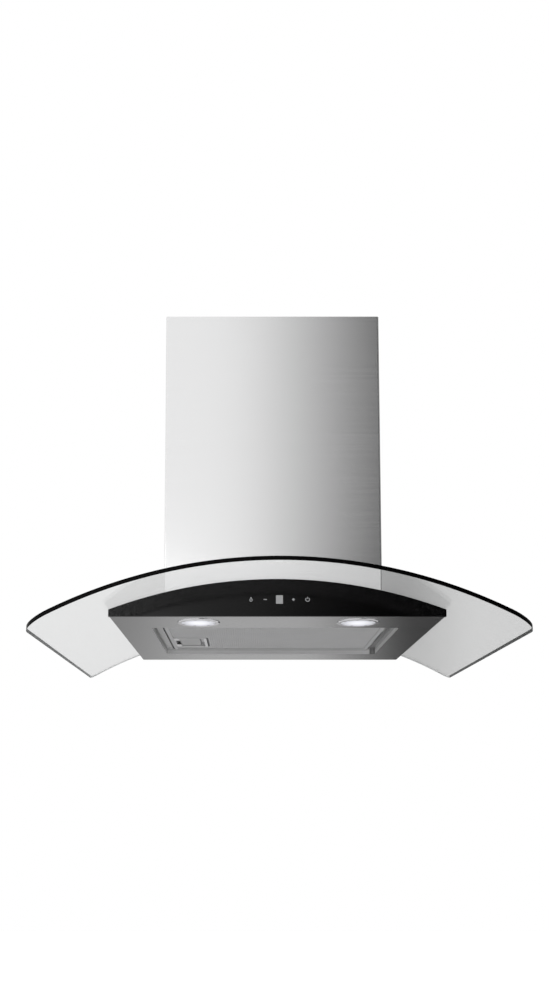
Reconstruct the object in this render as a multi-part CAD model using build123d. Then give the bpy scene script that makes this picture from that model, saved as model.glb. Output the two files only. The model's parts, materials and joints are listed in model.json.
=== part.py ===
from build123d import *
import os
from math import asin, degrees

os.makedirs("parts", exist_ok=True)

# A wall hood with a curved glass canopy, in millimetres. X runs to the right seen from the room,
# the wall is the plane y = 0 and the room lies towards -Y. Heights are counted from the underside
# of the canopy while a piece is drawn; save() then lowers it, so that the origin ends up on the
# wall in the middle of the four wall screws.

# ---------------------------------------------------------------- glass canopy
GLASS_WIDTH = 598.0
GLASS_DEPTH = 490.0
GLASS_THICK = 5.0
GLASS_RADIUS = 600.0  # bend of the underside
GLASS_CROWN = 48.2  # underside of the glass above the underside of the canopy, in the middle
GLASS_FRONT_CORNER = 30.0
GLASS_REAR_CORNER = 11.0
SEAL_THICK = 1.5

# ---------------------------------------------------------------- steel canopy
BODY_WIDTH = 426.0
BODY_DEPTH = 393.0
SHEET = 1.0
BODY_BEND = 2.0
FASCIA_THICK = 4.0
TAPE_THICK = 1.0
FASCIA_GAP = 0.3  # between the fascia's upper edge and the glass, and behind its lower edge
FRONT_X = 2.7  # the lamps and the controls are centred this far right of the middle

# ---------------------------------------------------------------- grease filter and its recess
RECESS_WIDTH = 333.0
RECESS_LENGTH = 244.0
RECESS_FRONT = 309.0  # distance from the wall to the front edge of the recess
RECESS_DEEP = 6.0
RECESS_CORNER = 6.0
LEDGE_WIDTH = 11.5
FILTER_THICK = 9.0
FILTER_END_GAP = 2.0
FILTER_SIDE_GAP = 1.2
FILTER_SKIN = 0.8
RIM_WIDTH = 6.0
MESH_LAYER = 0.8
TRAY_ROOF = 2.0  # how far the latch tray stays below the top of the filter
TONGUE_REACH = 8.0
TONGUE_WIDTH = 30.0
TONGUE_THICK = 1.0
TONGUE_SPREAD = 120.0
LATCH_MIDDLE = 144.0  # distance from the wall to the middle of the latch
FINGER_GAP = 8.0
FINGER_LENGTH = 40.0
LATCH_PLATE = 30.0
LATCH_LENGTH = 71.0
LATCH_SHEET = 1.5
LATCH_TRAVEL = 5.0
BOLT_WIDTH = 24.0
BOLT_THICK = 1.5
BOLT_RISE = 4.5  # underside of the bolt above the face of the filter
NOSE_GAP = 0.5  # between the bolt's nose and the edge of the ledge
TRAY_AIR = 5.0  # behind the plate when it is pulled back
TRAY_SIDE = 3.0  # of the tray beyond each end of the plate
TRAY_LIP = 4.0
STOP_TAB = 16.0
SPRING_THICK = 0.6
SPRING_BOW = 2.8
SPRING_LENGTH = 40.0
SPRING_CREST = 14.0
SPRING_LOW = 1.5

# ---------------------------------------------------------------- lamps
LAMP_SPREAD = 208.0
LAMP_FROM_WALL = 350.0
LAMP_RADIUS = 27.8
LAMP_DROP = 1.2
LAMP_BARREL = 25.7
LAMP_WALL = 1.4
LAMP_LENS = 22.5
LENS_BEND = 0.6
LENS_RIM = 2.0
LAMP_DEEP = 15.0
TAB_WIDTH = 8.0
TAB_REACH = 1.5
RIBS = 7
RIB_PITCH = 5.0
RIB_THICK = 1.6
RIB_LENGTH = 32.0
DRIVER_LENGTH = 84.0
DRIVER_WIDTH = 28.0
DRIVER_TALL = 18.0
DRIVER_CORNER = 3.0
DRIVER_EAR = 8.0
DRIVER_FOOT_WIDTH = 16.0

# ---------------------------------------------------------------- touch controls
DISPLAY_WIDTH = 8.7
DISPLAY_HEIGHT = 10.8
CONTROLS_Z = 21.5
BOARD_WIDTH = 112.0
BOARD_HEIGHT = 30.0
BOARD_THICK = 1.6
BOARD_STANDOFF = 3.6
BOARD_CORNER = 2.0
KEY_PITCH = 18.0
KEY_RADIUS = 4.0
KEY_THICK = 1.0
CHIP_WIDTH = 9.0
CHIP_THICK = 1.4
DISPLAY_MARGIN = 3.0
TAPE_WIDTH = 5.0

# ---------------------------------------------------------------- motor housing
HOUSING_WIDTH = 260.0
HOUSING_DEPTH = 180.0
HOUSING_TOP = 310.0
FLANGE_WIDTH = 20.0
INLET_MARGIN = 10.0
INLET_REAR = 20.0
COVER_FOLD = 5.0
COVER_SCREW_FOOT = 90.0  # height of the lowest cover screws
COVER_SCREW_INSET = 25.0  # of the highest ones below the top of the housing
DUCT_FROM_WALL = 92.0
DUCT_RADIUS = 75.0
DUCT_HEIGHT = 40.0
GLAND_SIDE = 22.0  # from the right side of the housing to the gland
GLAND_REAR = 40.0  # from the wall to the gland
GLAND_BORE = 4.0
GLAND_THREAD = 6.0
GLAND_HEX = 10.0
GLAND_HEX_TALL = 6.0
GLAND_CAP = 8.0
GLAND_NUT = 9.0
GLAND_NUT_TALL = 3.0

# ---------------------------------------------------------------- electronics in the housing
BOX_DEEP = 38.0  # of the control box, measured from the right wall
BOX_TALL = 100.0
BOX_LOW = 118.0
BOX_FRONT_AIR = 30.0  # from the front of the housing to the control box
BOX_REAR = 60.0  # from the wall to the control box
BOX_CORNER = 4.0
CAPACITOR_RADIUS = 14.0
CAPACITOR_TALL = 46.0
CAPACITOR_AIR = 4.0  # between the control box and the capacitor
CLIP_THICK = 1.0
CLIP_WIDTH = 12.0
CLIP_EAR = 40.0

# ---------------------------------------------------------------- chimney
FOOT_SIDE_AIR = 10.0  # between the foot of the housing and a side of the chimney
FOOT_FRONT_AIR = 5.0
CHIMNEY_WIDTH = HOUSING_WIDTH + 2 * (FLANGE_WIDTH + FOOT_SIDE_AIR)
CHIMNEY_DEPTH = HOUSING_DEPTH + FLANGE_WIDTH + FOOT_FRONT_AIR
CHIMNEY_TOP = 493.0
CHIMNEY_SHEET = 1.0
CHIMNEY_BEND = 2.5
CHIMNEY_RETURN = 12.0
SLEEVE_GAP = 1.5  # between the two chimney sections
UPPER_BOTTOM = 72.0
UPPER_TOP = 491.0
STOP_THICK = 1.2  # of the four angles that hold the lower section and stop the upper one
STOP_WIDTH = 26.0
STOP_LEG = 16.0
STOP_REAR = 25.0  # from the wall to the middle of the rear angles
STOP_FRONT_INSET = 30.0  # of the front angles behind the front of the housing
TOP_BRACKET_THICK = 1.5
TOP_BRACKET_TALL = 30.0
TOP_BRACKET_BELOW = 30.0  # of its middle below the top of the upper section
TOP_BRACKET_AIR = 3.0
TOP_EAR_WIDTH = 16.0
TOP_SCREW_REAR = 20.0

# ---------------------------------------------------------------- blower
WHEEL_LENGTH = 96.0
BLADE_DEEP = 13.0
BLADES = 36
BLADE_THICK = 1.0
BLADE_LEAN = 9.0  # degrees that a blade's tip runs ahead of its root
BLADE_BELLY = 1.0
TIP_INSET = 1.5  # of the blades' tips inside the wheel's end rings
END_RING = 2.5
DISC_THICK = 2.0
DISC_INSET = 4.0
DISC_HOLES = 6
DISC_HOLE_RADIUS = 9.0
HUB_RADIUS = 13.0
HUB_TAIL = 8.0  # how far the hub stands behind the wheel's middle
HUB_NOSE = 12.0  # how far it stands in front of it
HUB_NUT = 7.0
HUB_NUT_TALL = 6.0
SCROLL_DEPTH = 120.0
SCROLL_WALL = 2.0
SEAM_WIDTH = 2.0
SCROLL_GROWTH = 11.0  # growth of the scroll's radius in each quarter turn
TONGUE_CLEAR = 6.5  # between the wheel and the tongue of the scroll
SCROLL_SIDE_AIR = 0.5  # between the scroll's seam and the left wall of the housing
SCROLL_BOX_AIR = 4.5  # between the scroll's seam and the control box
SCROLL_FOOT_AIR = 1.3  # between the scroll's seam and the top of the glass
INLET_LAP = 2.0  # how far the inlet ring stands inside the wheel's inner edge
INLET_LIP = 1.5
INLET_LIP_DEEP = 8.0
MOUTH_INSET_LEFT = 9.0  # of the scroll's mouth inside the duct
MOUTH_INSET_RIGHT = 5.0
MOUTH_FLANGE = 8.0
MOTOR_RADIUS = 40.0
MOTOR_SHELL_INSET = 2.0
MOTOR_BEND = 6.0
MOTOR_CORE = 20.0
MOTOR_LENGTH = 52.0
BOSS_RADIUS = 12.0
BOSS_TALL = 4.0
REAR_BOSS_RADIUS = 14.0
REAR_BOSS_TALL = 6.0
SHAFT_RADIUS = 4.0
SHAFT_FIT = 0.05
ARM_THICK = 1.5
ARM_WIDTH = 12.0
ARM_RING = 26.0
ARM_ROOT = 20.0
BUSH_LENGTH = 4.0
BUSH_RADIUS = 6.0
BUSH_MARGIN = 10.0  # of the bushes outside the inlet ring

# ---------------------------------------------------------------- non-return flaps
PIN_RADIUS = 1.5
PIN_FIT = 0.06
KNUCKLE_RADIUS = 3.2
KNUCKLE_LENGTH = 22.0
KNUCKLE_PITCH = 23.0
FLAP_THICK = 1.2
FLAP_EDGE_GAP = 0.6
COLLAR_WALL = 1.5
COLLAR_FOOT = 6.0
FLAP_STOP_REACH = 4.0
FLAP_STOP_WIDTH = 6.0
FLAP_STOP_TALL = 3.0
FLAP_STOPS = (35, 145, 215, 325)  # degrees round the collar

# ---------------------------------------------------------------- fixings
WALL_HOLE_INSET = 15.0  # of the wall screws from the sides of the housing
WALL_SPREAD_X = HOUSING_WIDTH - 2 * WALL_HOLE_INSET
WALL_SPREAD_Z = 215.0
WALL_LOW_Z = 75.0
WALL_HOLE_RADIUS = 3.2
TOP_HOLE_INSET = 60.0  # of the top screws from the sides of the chimney
TOP_BRACKET_SPREAD = CHIMNEY_WIDTH - 2 * TOP_HOLE_INSET
TOP_BRACKET_HOLE = 3.0
CLAMP_REAR = 40.0  # from the wall to the rear clamp screws of the glass
CLAMP_SIDE_INSET = 35.0  # of the middle ones behind the front of the housing
CLAMP_FRONT_INSET = 40.0  # of the front ones from the sides of the housing
CLAMP_SHANK = 2.5
CLAMP_HEAD = 4.6
CLAMP_HEAD_TALL = 2.6
CLAMP_TAIL = 6.0
CLAMP_HOLE = 2.7
CLAMP_GLASS_HOLE = 4.0
CLAMP_NUT_TALL = 4.0
SMALL_SHANK = 1.5  # the small screws in sheet metal
SMALL_HEAD = 3.2
SMALL_HEAD_TALL = 2.0
SMALL_LENGTH = 6.0
SMALL_HOLE = 1.6
LOOSE_HOLE = 1.8  # their holes in the chimney's sides
FLAT_HEAD_TALL = 0.9
MOTOR_SHANK = 1.6
MOTOR_HEAD = 3.5
MOTOR_HEAD_TALL = 2.2
SEAT = 0.3  # air between pieces that move against each other

# ---------------------------------------------------------------- places worked out from these
ARCH_Z = GLASS_CROWN - GLASS_RADIUS  # height of the axis that every curved sheet shares
GLASS_TOP_RADIUS = GLASS_RADIUS + GLASS_THICK
SEAL_RADIUS = GLASS_RADIUS - SEAL_THICK
PLATE_RADIUS = SEAL_RADIUS - SHEET
GASKET_RADIUS = GLASS_TOP_RADIUS + SHEET
FLANGE_RADIUS = GASKET_RADIUS + SHEET
HALF_BODY = BODY_WIDTH / 2
HALF_HOUSING = HOUSING_WIDTH / 2
WALL_FIX_Z = WALL_LOW_Z + WALL_SPREAD_Z / 2
TALL = CHIMNEY_TOP + 50.0  # taller than anything in the hood

TAPE_Y = -BODY_DEPTH + FASCIA_THICK
PAN_FRONT_Y = TAPE_Y + TAPE_THICK
BOARD_Y = PAN_FRONT_Y + SHEET + BOARD_STANDOFF

RECESS_Y = -RECESS_FRONT + RECESS_LENGTH / 2
WINDOW_X = RECESS_WIDTH / 2 - LEDGE_WIDTH
WINDOW_Y = RECESS_LENGTH / 2 - LEDGE_WIDTH
FILTER_X = WINDOW_X - FILTER_END_GAP
FILTER_Y = WINDOW_Y - FILTER_SIDE_GAP
FILTER_TOP = RECESS_DEEP + FILTER_THICK
LEDGE_TOP = RECESS_DEEP + SHEET

SCROLL_TOP = HOUSING_TOP - SHEET
SCROLL_RIM = SCROLL_WALL + SEAM_WIDTH
SCROLL_SPAN = HOUSING_WIDTH - 2 * SHEET - SCROLL_SIDE_AIR - SCROLL_BOX_AIR - BOX_DEEP
SCROLL_FIRST = (SCROLL_SPAN - 3 * SCROLL_GROWTH) / 2 - SCROLL_RIM  # radius of the first quarter
WHEEL_RADIUS = SCROLL_FIRST - SCROLL_GROWTH / 2 - TONGUE_CLEAR
WHEEL_INNER = WHEEL_RADIUS - BLADE_DEEP
INLET_RADIUS = WHEEL_INNER - INLET_LAP
BUSH_CIRCLE = INLET_RADIUS + BUSH_MARGIN
WHEEL_X = SHEET + SCROLL_SIDE_AIR + SCROLL_RIM + SCROLL_FIRST + SCROLL_GROWTH / 2 - HALF_HOUSING
SCROLL_LOW = GLASS_CROWN + GLASS_THICK + SCROLL_FOOT_AIR
WHEEL_Z = SCROLL_LOW + SCROLL_RIM + SCROLL_FIRST + 1.5 * SCROLL_GROWTH
MOUTH_LEFT = MOUTH_INSET_LEFT - DUCT_RADIUS
MOUTH_RIGHT = DUCT_RADIUS - MOUTH_INSET_RIGHT
DUCT_Y = -DUCT_FROM_WALL
SCROLL_BACK_Y = DUCT_Y + SCROLL_DEPTH / 2
WHEEL_BACK_Y = DUCT_Y + WHEEL_LENGTH / 2
ARM_Y = SCROLL_BACK_Y + BUSH_LENGTH
FLAP_Z = HOUSING_TOP + DUCT_HEIGHT / 2
FOOT_X = HALF_HOUSING + FLANGE_WIDTH
FOOT_Y = -HOUSING_DEPTH - FLANGE_WIDTH
INLET_X = HALF_HOUSING - INLET_MARGIN
INLET_FRONT_Y = -HOUSING_DEPTH + INLET_MARGIN
GLASS_SCREW_X = HALF_HOUSING + FLANGE_WIDTH / 2
GLASS_SCREW_Y = -HOUSING_DEPTH - FLANGE_WIDTH / 2
SIDE_SCREW_YS = (-CLAMP_REAR, CLAMP_SIDE_INSET - HOUSING_DEPTH)
GLASS_SCREWS = [(s * GLASS_SCREW_X, y) for s in (-1, 1) for y in SIDE_SCREW_YS]
GLASS_SCREWS += [(s * (HALF_HOUSING - CLAMP_FRONT_INSET), GLASS_SCREW_Y) for s in (-1, 1)]


def save(name, shape):
    """Move a piece into the hood's own frame and write it."""
    export_step(Pos(0, 0, -WALL_FIX_Z) * shape, f"parts/{name}.step")


def block(x0, x1, y0, y1, z0, z1):
    """A box between two corners."""
    return Pos((x0 + x1) / 2, (y0 + y1) / 2, (z0 + z1) / 2) * Box(x1 - x0, y1 - y0, z1 - z0)


def mirrored_block(x1, y0, y1, z0, z1):
    """A box that reaches as far to the left as to the right."""
    return block(-x1, x1, y0, y1, z0, z1)


def arch(radius):
    """Everything below a curved surface that lies round the axis shared by all curved sheets."""
    return Pos(0, -GLASS_DEPTH / 2, ARCH_Z) * Rot(90, 0, 0) * Cylinder(radius, 2 * GLASS_DEPTH)


def curved_sheet(outline, radius, thick):
    """A flat outline, bent to a curved sheet of one thickness."""
    column = extrude(Pos(0, 0, -TALL / 4) * outline, TALL)
    return column & (arch(radius + thick) - arch(radius))


def rectangle(x0, x1, y0, y1):
    """A rectangle between two corners, seen from above."""
    return Pos((x0 + x1) / 2, (y0 + y1) / 2) * Rectangle(x1 - x0, y1 - y0)


def along_y(outline, y0, y1):
    """A solid with this outline, seen from the room, between two distances from the wall."""
    return extrude(Plane.XZ.offset(-y1) * outline, y1 - y0)


def rod_y(x, z, radius, y0, y1):
    """A round bar at right angles to the wall."""
    return along_y(Pos(x, z) * Circle(radius), y0, y1)


def rod_z(x, y, radius, z0, z1):
    """An upright round bar."""
    return Pos(x, y, (z0 + z1) / 2) * Cylinder(radius, z1 - z0)


def square_to_glass(x, y, radius):
    """A place on one of the curved sheets, with +Z square to it. x is measured on the glass."""
    tilt = degrees(asin(x / GLASS_RADIUS))
    return Pos(0, y, ARCH_Z) * Rot(0, tilt, 0) * Pos(0, 0, radius)


def pan_head(radius, head, shank, length):
    """A screw that points down from the origin, with its head above."""
    top = Pos(0, 0, head / 2) * Cylinder(radius, head)
    top = chamfer(top.edges().group_by(Axis.Z)[-1], head / 3)
    return top + Pos(0, 0, -length / 2) * Cylinder(shank, length)


# ================================================================ canopy
def canopy_block(inset):
    """The body of the canopy as a solid, made smaller all round by the inset."""
    side = HALF_BODY - inset
    solid = mirrored_block(side, PAN_FRONT_Y + inset, -inset, inset, 3 * GLASS_CROWN)
    long_edges = solid.edges().filter_by(Axis.Y).group_by(Axis.Z)[0]
    return fillet(long_edges, BODY_BEND - inset / 2)


def recess_prism(x, y, corner, z0, z1):
    """A block with rounded corners, centred on the filter's recess."""
    outline = Pos(0, RECESS_Y) * RectangleRounded(2 * x, 2 * y, corner)
    return extrude(Pos(0, 0, z0) * outline, z1 - z0)


def canopy_shell():
    """Folded steel pan: flat underside, low walls, lamp holes and the pressed filter recess."""
    pan = (canopy_block(0) - canopy_block(SHEET)) & arch(PLATE_RADIUS)
    pan += mirrored_block(HALF_BODY, TAPE_Y + FASCIA_GAP, PAN_FRONT_Y + SHEET, 0, SHEET)
    half_width = RECESS_WIDTH / 2
    half_length = RECESS_LENGTH / 2
    outside = recess_prism(half_width + SHEET, half_length + SHEET, RECESS_CORNER + SHEET, 0, LEDGE_TOP)
    hollow = recess_prism(half_width, half_length, RECESS_CORNER, -SHEET, RECESS_DEEP)
    window = recess_prism(WINDOW_X, WINDOW_Y, RECESS_CORNER / 2, -SHEET, 2 * LEDGE_TOP)
    pan = pan + outside - hollow - window
    for side in (-1, 1):
        pan -= lamp_place(side) * rod_z(0, 0, LAMP_BARREL + SEAT, -SHEET, 2 * SHEET)
    half_view = BOARD_WIDTH / 2 - 2 * BOARD_STANDOFF
    low = CONTROLS_Z - BOARD_HEIGHT / 2 + BOARD_STANDOFF
    high = CONTROLS_Z + BOARD_HEIGHT / 2 - BOARD_STANDOFF
    return pan - mirrored_block(half_view, PAN_FRONT_Y - SHEET, PAN_FRONT_Y + 2 * SHEET, low, high)


def foot_outline():
    """Foot of the motor housing: wide round three sides, narrower at the wall."""
    wide = rectangle(-FOOT_X, FOOT_X, FOOT_Y, -CHIMNEY_SHEET - SLEEVE_GAP)
    return wide + rectangle(-HALF_HOUSING, HALF_HOUSING, -HOUSING_DEPTH, 0) - inlet_outline()


def inlet_outline():
    """The opening through which the air leaves the canopy for the blower."""
    return rectangle(-INLET_X, INLET_X, INLET_FRONT_Y, -INLET_REAR)


def glass_holes(part, radius, hole):
    """Cut the six fixing holes into a curved sheet."""
    for x, y in GLASS_SCREWS:
        part -= square_to_glass(x, y, radius) * Cylinder(hole, 8 * GLASS_THICK)
    return part


def canopy_top_plate():
    """Curved galvanised lid of the canopy, open below the blower."""
    outline = rectangle(-HALF_BODY, HALF_BODY, PAN_FRONT_Y, 0) - inlet_outline()
    return glass_holes(curved_sheet(outline, PLATE_RADIUS, SHEET), PLATE_RADIUS, CLAMP_HOLE)


def glass_seal():
    """Rubber seal under the glass: a frame round the canopy and one round the inlet."""
    width = LEDGE_WIDTH
    outer = rectangle(-HALF_BODY, HALF_BODY, PAN_FRONT_Y, 0)
    outer -= rectangle(width - HALF_BODY, HALF_BODY - width, PAN_FRONT_Y + width, -width)
    frames = curved_sheet(outer + foot_outline(), SEAL_RADIUS, SEAL_THICK)
    return glass_holes(frames, SEAL_RADIUS, CLAMP_HOLE)


def glass_canopy():
    """The bent glass, with rounded corners, an opening below the blower and six holes."""
    outline = rectangle(-GLASS_WIDTH / 2, GLASS_WIDTH / 2, -GLASS_DEPTH, 0)
    rows = outline.vertices().group_by(Axis.Y)
    outline = fillet(rows[0], GLASS_FRONT_CORNER)
    outline = fillet(outline.vertices().group_by(Axis.Y)[-1], GLASS_REAR_CORNER)
    outline -= inlet_outline()
    bent = curved_sheet(outline, GLASS_RADIUS, GLASS_THICK)
    return glass_holes(bent, GLASS_RADIUS, CLAMP_GLASS_HOLE)


def housing_gasket():
    """Rubber gasket between the glass and the foot of the motor housing."""
    frame = curved_sheet(foot_outline(), GLASS_TOP_RADIUS, SHEET)
    return glass_holes(frame, GLASS_TOP_RADIUS, CLAMP_HOLE)


def glass_screws():
    """Six screws that clamp the glass between the motor housing and the canopy."""
    grip = FLANGE_RADIUS - PLATE_RADIUS
    screw = pan_head(CLAMP_HEAD, CLAMP_HEAD_TALL, CLAMP_SHANK, grip + CLAMP_TAIL)
    return [square_to_glass(x, y, FLANGE_RADIUS) * screw for x, y in GLASS_SCREWS]


def glass_nuts():
    """Six hexagon nuts under the lid of the canopy."""
    nut = extrude(RegularPolygon(CLAMP_HEAD, 6) - Circle(CLAMP_SHANK), -CLAMP_NUT_TALL)
    return [square_to_glass(x, y, PLATE_RADIUS) * nut & arch(PLATE_RADIUS) for x, y in GLASS_SCREWS]


# ================================================================ fascia and touch controls
def display_outline(margin):
    """The display's rectangle in the plane of the fascia."""
    return Pos(FRONT_X, CONTROLS_Z) * Rectangle(DISPLAY_WIDTH + margin, DISPLAY_HEIGHT + margin)


def front_fascia():
    """Black glass strip whose upper edge follows the bend of the canopy glass."""
    strip = mirrored_block(HALF_BODY, -BODY_DEPTH, TAPE_Y, 0, TALL) & arch(GLASS_RADIUS - FASCIA_GAP)
    return strip - along_y(display_outline(0), -BODY_DEPTH - 1, TAPE_Y + 1)


def display_window():
    """Clear window of the display, flush with the fascia."""
    return along_y(display_outline(0), -BODY_DEPTH, TAPE_Y)


def fascia_tape():
    """Foam tape that holds the fascia to the pan."""
    half_view = BOARD_WIDTH / 2
    half_tape = HALF_BODY - LEDGE_WIDTH
    low = mirrored_block(half_tape, TAPE_Y, PAN_FRONT_Y, 2 * SHEET, 2 * SHEET + TAPE_WIDTH)
    low -= mirrored_block(half_view, TAPE_Y - 1, PAN_FRONT_Y + 1, 0, GLASS_CROWN)
    upright = block(half_view, half_view + LEDGE_WIDTH, TAPE_Y, PAN_FRONT_Y, 2 * SHEET, CONTROLS_Z)
    return low + upright + mirror(upright, about=Plane.YZ)


def board_corners():
    """Centres of the four spacers behind the pan."""
    across = BOARD_WIDTH / 2 - BOARD_STANDOFF
    up = BOARD_HEIGHT / 2 - BOARD_STANDOFF / 2
    return [(sx * across, CONTROLS_Z + sz * up) for sx in (-1, 1) for sz in (-1, 1)]


def touch_board():
    """Circuit board with touch pads."""
    outline = Pos(0, CONTROLS_Z) * RectangleRounded(BOARD_WIDTH, BOARD_HEIGHT, BOARD_CORNER)
    back = BOARD_Y + BOARD_THICK
    board = along_y(outline, BOARD_Y, back)
    for step in (-2, -1, 1, 2):
        pad = Pos(FRONT_X + KEY_PITCH * step, CONTROLS_Z) * Circle(KEY_RADIUS)
        board += along_y(pad, BOARD_Y - KEY_THICK, BOARD_Y)
    chip = Pos(-BOARD_WIDTH / 4, CONTROLS_Z) * Rectangle(CHIP_WIDTH, CHIP_WIDTH)
    return board + along_y(chip, back, back + CHIP_THICK)


def board_spacers():
    """Four nylon spacers between pan and board."""
    front = PAN_FRONT_Y + SHEET
    return [rod_y(x, z, BOARD_STANDOFF / 2, front, BOARD_Y) for x, z in board_corners()]


def display_module():
    """Digit display on the board, close behind its window."""
    return along_y(display_outline(DISPLAY_MARGIN), TAPE_Y, BOARD_Y)


# ================================================================ lamps
def lamp_place(side):
    return Pos(FRONT_X + side * LAMP_SPREAD / 2, -LAMP_FROM_WALL, 0)


def lamp_bezel():
    """Turned ring with a barrel through the sheet and three snap tabs above it."""
    ring = Pos(0, 0, -LAMP_DROP / 2) * Cylinder(LAMP_RADIUS, LAMP_DROP)
    ring = chamfer(ring.edges().group_by(Axis.Z)[0], LAMP_DROP * 0.7, LAMP_DROP)
    bezel = ring + rod_z(0, 0, LAMP_BARREL, 0, LAMP_DEEP)
    bezel -= rod_z(0, 0, LAMP_LENS, -LAMP_DROP, 0)
    bezel -= rod_z(0, 0, LAMP_BARREL - LAMP_WALL, 0, LAMP_DEEP)
    tab_end = LAMP_RADIUS + TAB_REACH
    tab = block(LAMP_BARREL - LAMP_WALL / 2, tab_end, -TAB_WIDTH / 2, TAB_WIDTH / 2, SHEET, 2 * SHEET)
    for turn in (0, 120, 240):
        bezel += Rot(0, 0, turn) * tab
    return bezel


def lamp_lens():
    """Frosted lens with a stepped rim that rests in the bezel."""
    plug = rod_z(0, 0, LAMP_LENS, -LAMP_DROP * 0.8, 0)
    plug = fillet(plug.edges().group_by(Axis.Z)[0], LENS_BEND)
    return plug + rod_z(0, 0, LAMP_BARREL - LAMP_WALL, 0, LENS_RIM)


def lamp_module():
    """Light source with cooling ribs, behind the lens."""
    rib_foot = LAMP_DEEP - RIB_PITCH
    body = rod_z(0, 0, LAMP_BARREL - LAMP_WALL, LENS_RIM, rib_foot)
    rib = Pos(0, 0, (rib_foot + LAMP_DEEP) / 2) * Box(RIB_THICK, RIB_LENGTH, LAMP_DEEP - rib_foot)
    for k in range(RIBS):
        body += Pos((k - (RIBS - 1) / 2) * RIB_PITCH, 0, 0) * rib
    return body


def led_driver():
    """Lamp power supply on the floor of the canopy, between the lamps."""
    outline = RectangleRounded(DRIVER_LENGTH, DRIVER_WIDTH, DRIVER_CORNER)
    foot = Rectangle(DRIVER_LENGTH + 2 * DRIVER_EAR, DRIVER_FOOT_WIDTH)
    driver = extrude(outline, DRIVER_TALL) + extrude(foot, 2 * SHEET)
    return Pos(0, -LAMP_FROM_WALL, SHEET) * driver


# ================================================================ grease filter
def filter_block(x, y, z0, z1):
    return mirrored_block(x, RECESS_Y - y, RECESS_Y + y, z0, z1)


LATCH_LEFT = -FILTER_X + RIM_WIDTH
PLATE_LEFT = LATCH_LEFT + FINGER_GAP
PLATE_RIGHT = PLATE_LEFT + LATCH_PLATE
TRAY_RIGHT = PLATE_RIGHT + LATCH_TRAVEL + TRAY_AIR
TRAY_HALF = LATCH_LENGTH / 2 + TRAY_SIDE
LATCH_Y = -LATCH_MIDDLE
BOLT_Z = RECESS_DEEP + BOLT_RISE


def latch_pocket(x0):
    """Space that the latch tray takes out of the filter."""
    return block(x0, TRAY_RIGHT, LATCH_Y - TRAY_HALF, LATCH_Y + TRAY_HALF, 0, FILTER_TOP - TRAY_ROOF)


def bolt_hole(x0, x1):
    """Slot for the bolt, a little larger than the bolt."""
    half = BOLT_WIDTH / 2 + SEAT
    return block(x0, x1, LATCH_Y - half, LATCH_Y + half, BOLT_Z - SEAT, BOLT_Z + BOLT_THICK + SEAT)


def filter_frame():
    """Aluminium channel folded round the four sides of the filter."""
    frame = filter_block(FILTER_X, FILTER_Y, RECESS_DEEP, FILTER_TOP)
    frame -= filter_block(FILTER_X - RIM_WIDTH, FILTER_Y - RIM_WIDTH, 0, 2 * FILTER_TOP)
    skin = FILTER_SKIN
    frame -= filter_block(FILTER_X - skin, FILTER_Y - skin, RECESS_DEEP + skin, FILTER_TOP - skin)
    return frame - bolt_hole(-FILTER_X - 1, -FILTER_X + 1)


def filter_mesh():
    """Three layers of aluminium mesh held in the frame; the two lower ones make room for the latch."""
    x = FILTER_X - FILTER_SKIN
    y = FILTER_Y - FILTER_SKIN
    low = RECESS_DEEP + FILTER_SKIN
    high = FILTER_TOP - FILTER_SKIN - MESH_LAYER
    layers = [filter_block(x, y, z, z + MESH_LAYER) for z in (low, (low + high) / 2, high)]
    room = latch_pocket(-FILTER_X) + bolt_hole(-FILTER_X, LATCH_LEFT)
    return Part() + [layer - room for layer in layers]


def filter_tongues():
    """Two tongues on the right end of the filter that lie over the ledge."""
    z0 = LEDGE_TOP + SEAT
    tongues = []
    for side in (-1, 1):
        middle = RECESS_Y + side * TONGUE_SPREAD / 2
        y0 = middle - TONGUE_WIDTH / 2
        y1 = middle + TONGUE_WIDTH / 2
        tongue = block(FILTER_X, FILTER_X + TONGUE_REACH, y0, y1, z0, z0 + TONGUE_THICK)
        tongue += block(FILTER_X, FILTER_X + TONGUE_THICK, y0, y1, z0, FILTER_TOP)
        tongues.append(tongue)
    return tongues


def latch_tray():
    """Pressed tray sunk into the filter, with a slot towards the frame for the bolt."""
    tray = latch_pocket(LATCH_LEFT) & filter_block(FILTER_X, FILTER_Y, RECESS_DEEP, FILTER_TOP)
    skin = FILTER_SKIN
    inside = block(LATCH_LEFT + skin, TRAY_RIGHT - skin, LATCH_Y - TRAY_HALF + skin,
                   LATCH_Y + TRAY_HALF - skin, RECESS_DEEP - 1, FILTER_TOP - TRAY_ROOF - skin)
    lip = block(TRAY_RIGHT - TRAY_LIP, TRAY_RIGHT, LATCH_Y - TRAY_HALF, LATCH_Y + TRAY_HALF,
                RECESS_DEEP, RECESS_DEEP + skin)
    side = block(PLATE_LEFT, TRAY_RIGHT, LATCH_Y - TRAY_HALF, LATCH_Y - LATCH_LENGTH / 2 - SEAT,
                 RECESS_DEEP, RECESS_DEEP + skin)
    far_side = mirror(side, about=Plane.XZ.offset(-LATCH_Y))
    near = block(LATCH_LEFT, PLATE_LEFT - SEAT, LATCH_Y - TRAY_HALF, LATCH_Y - FINGER_LENGTH / 2,
                 RECESS_DEEP, RECESS_DEEP + skin)
    far_near = mirror(near, about=Plane.XZ.offset(-LATCH_Y))
    tray = tray - inside + lip + side + far_side + near + far_near
    return tray - bolt_hole(LATCH_LEFT - 1, LATCH_LEFT + 2 * skin)


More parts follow.
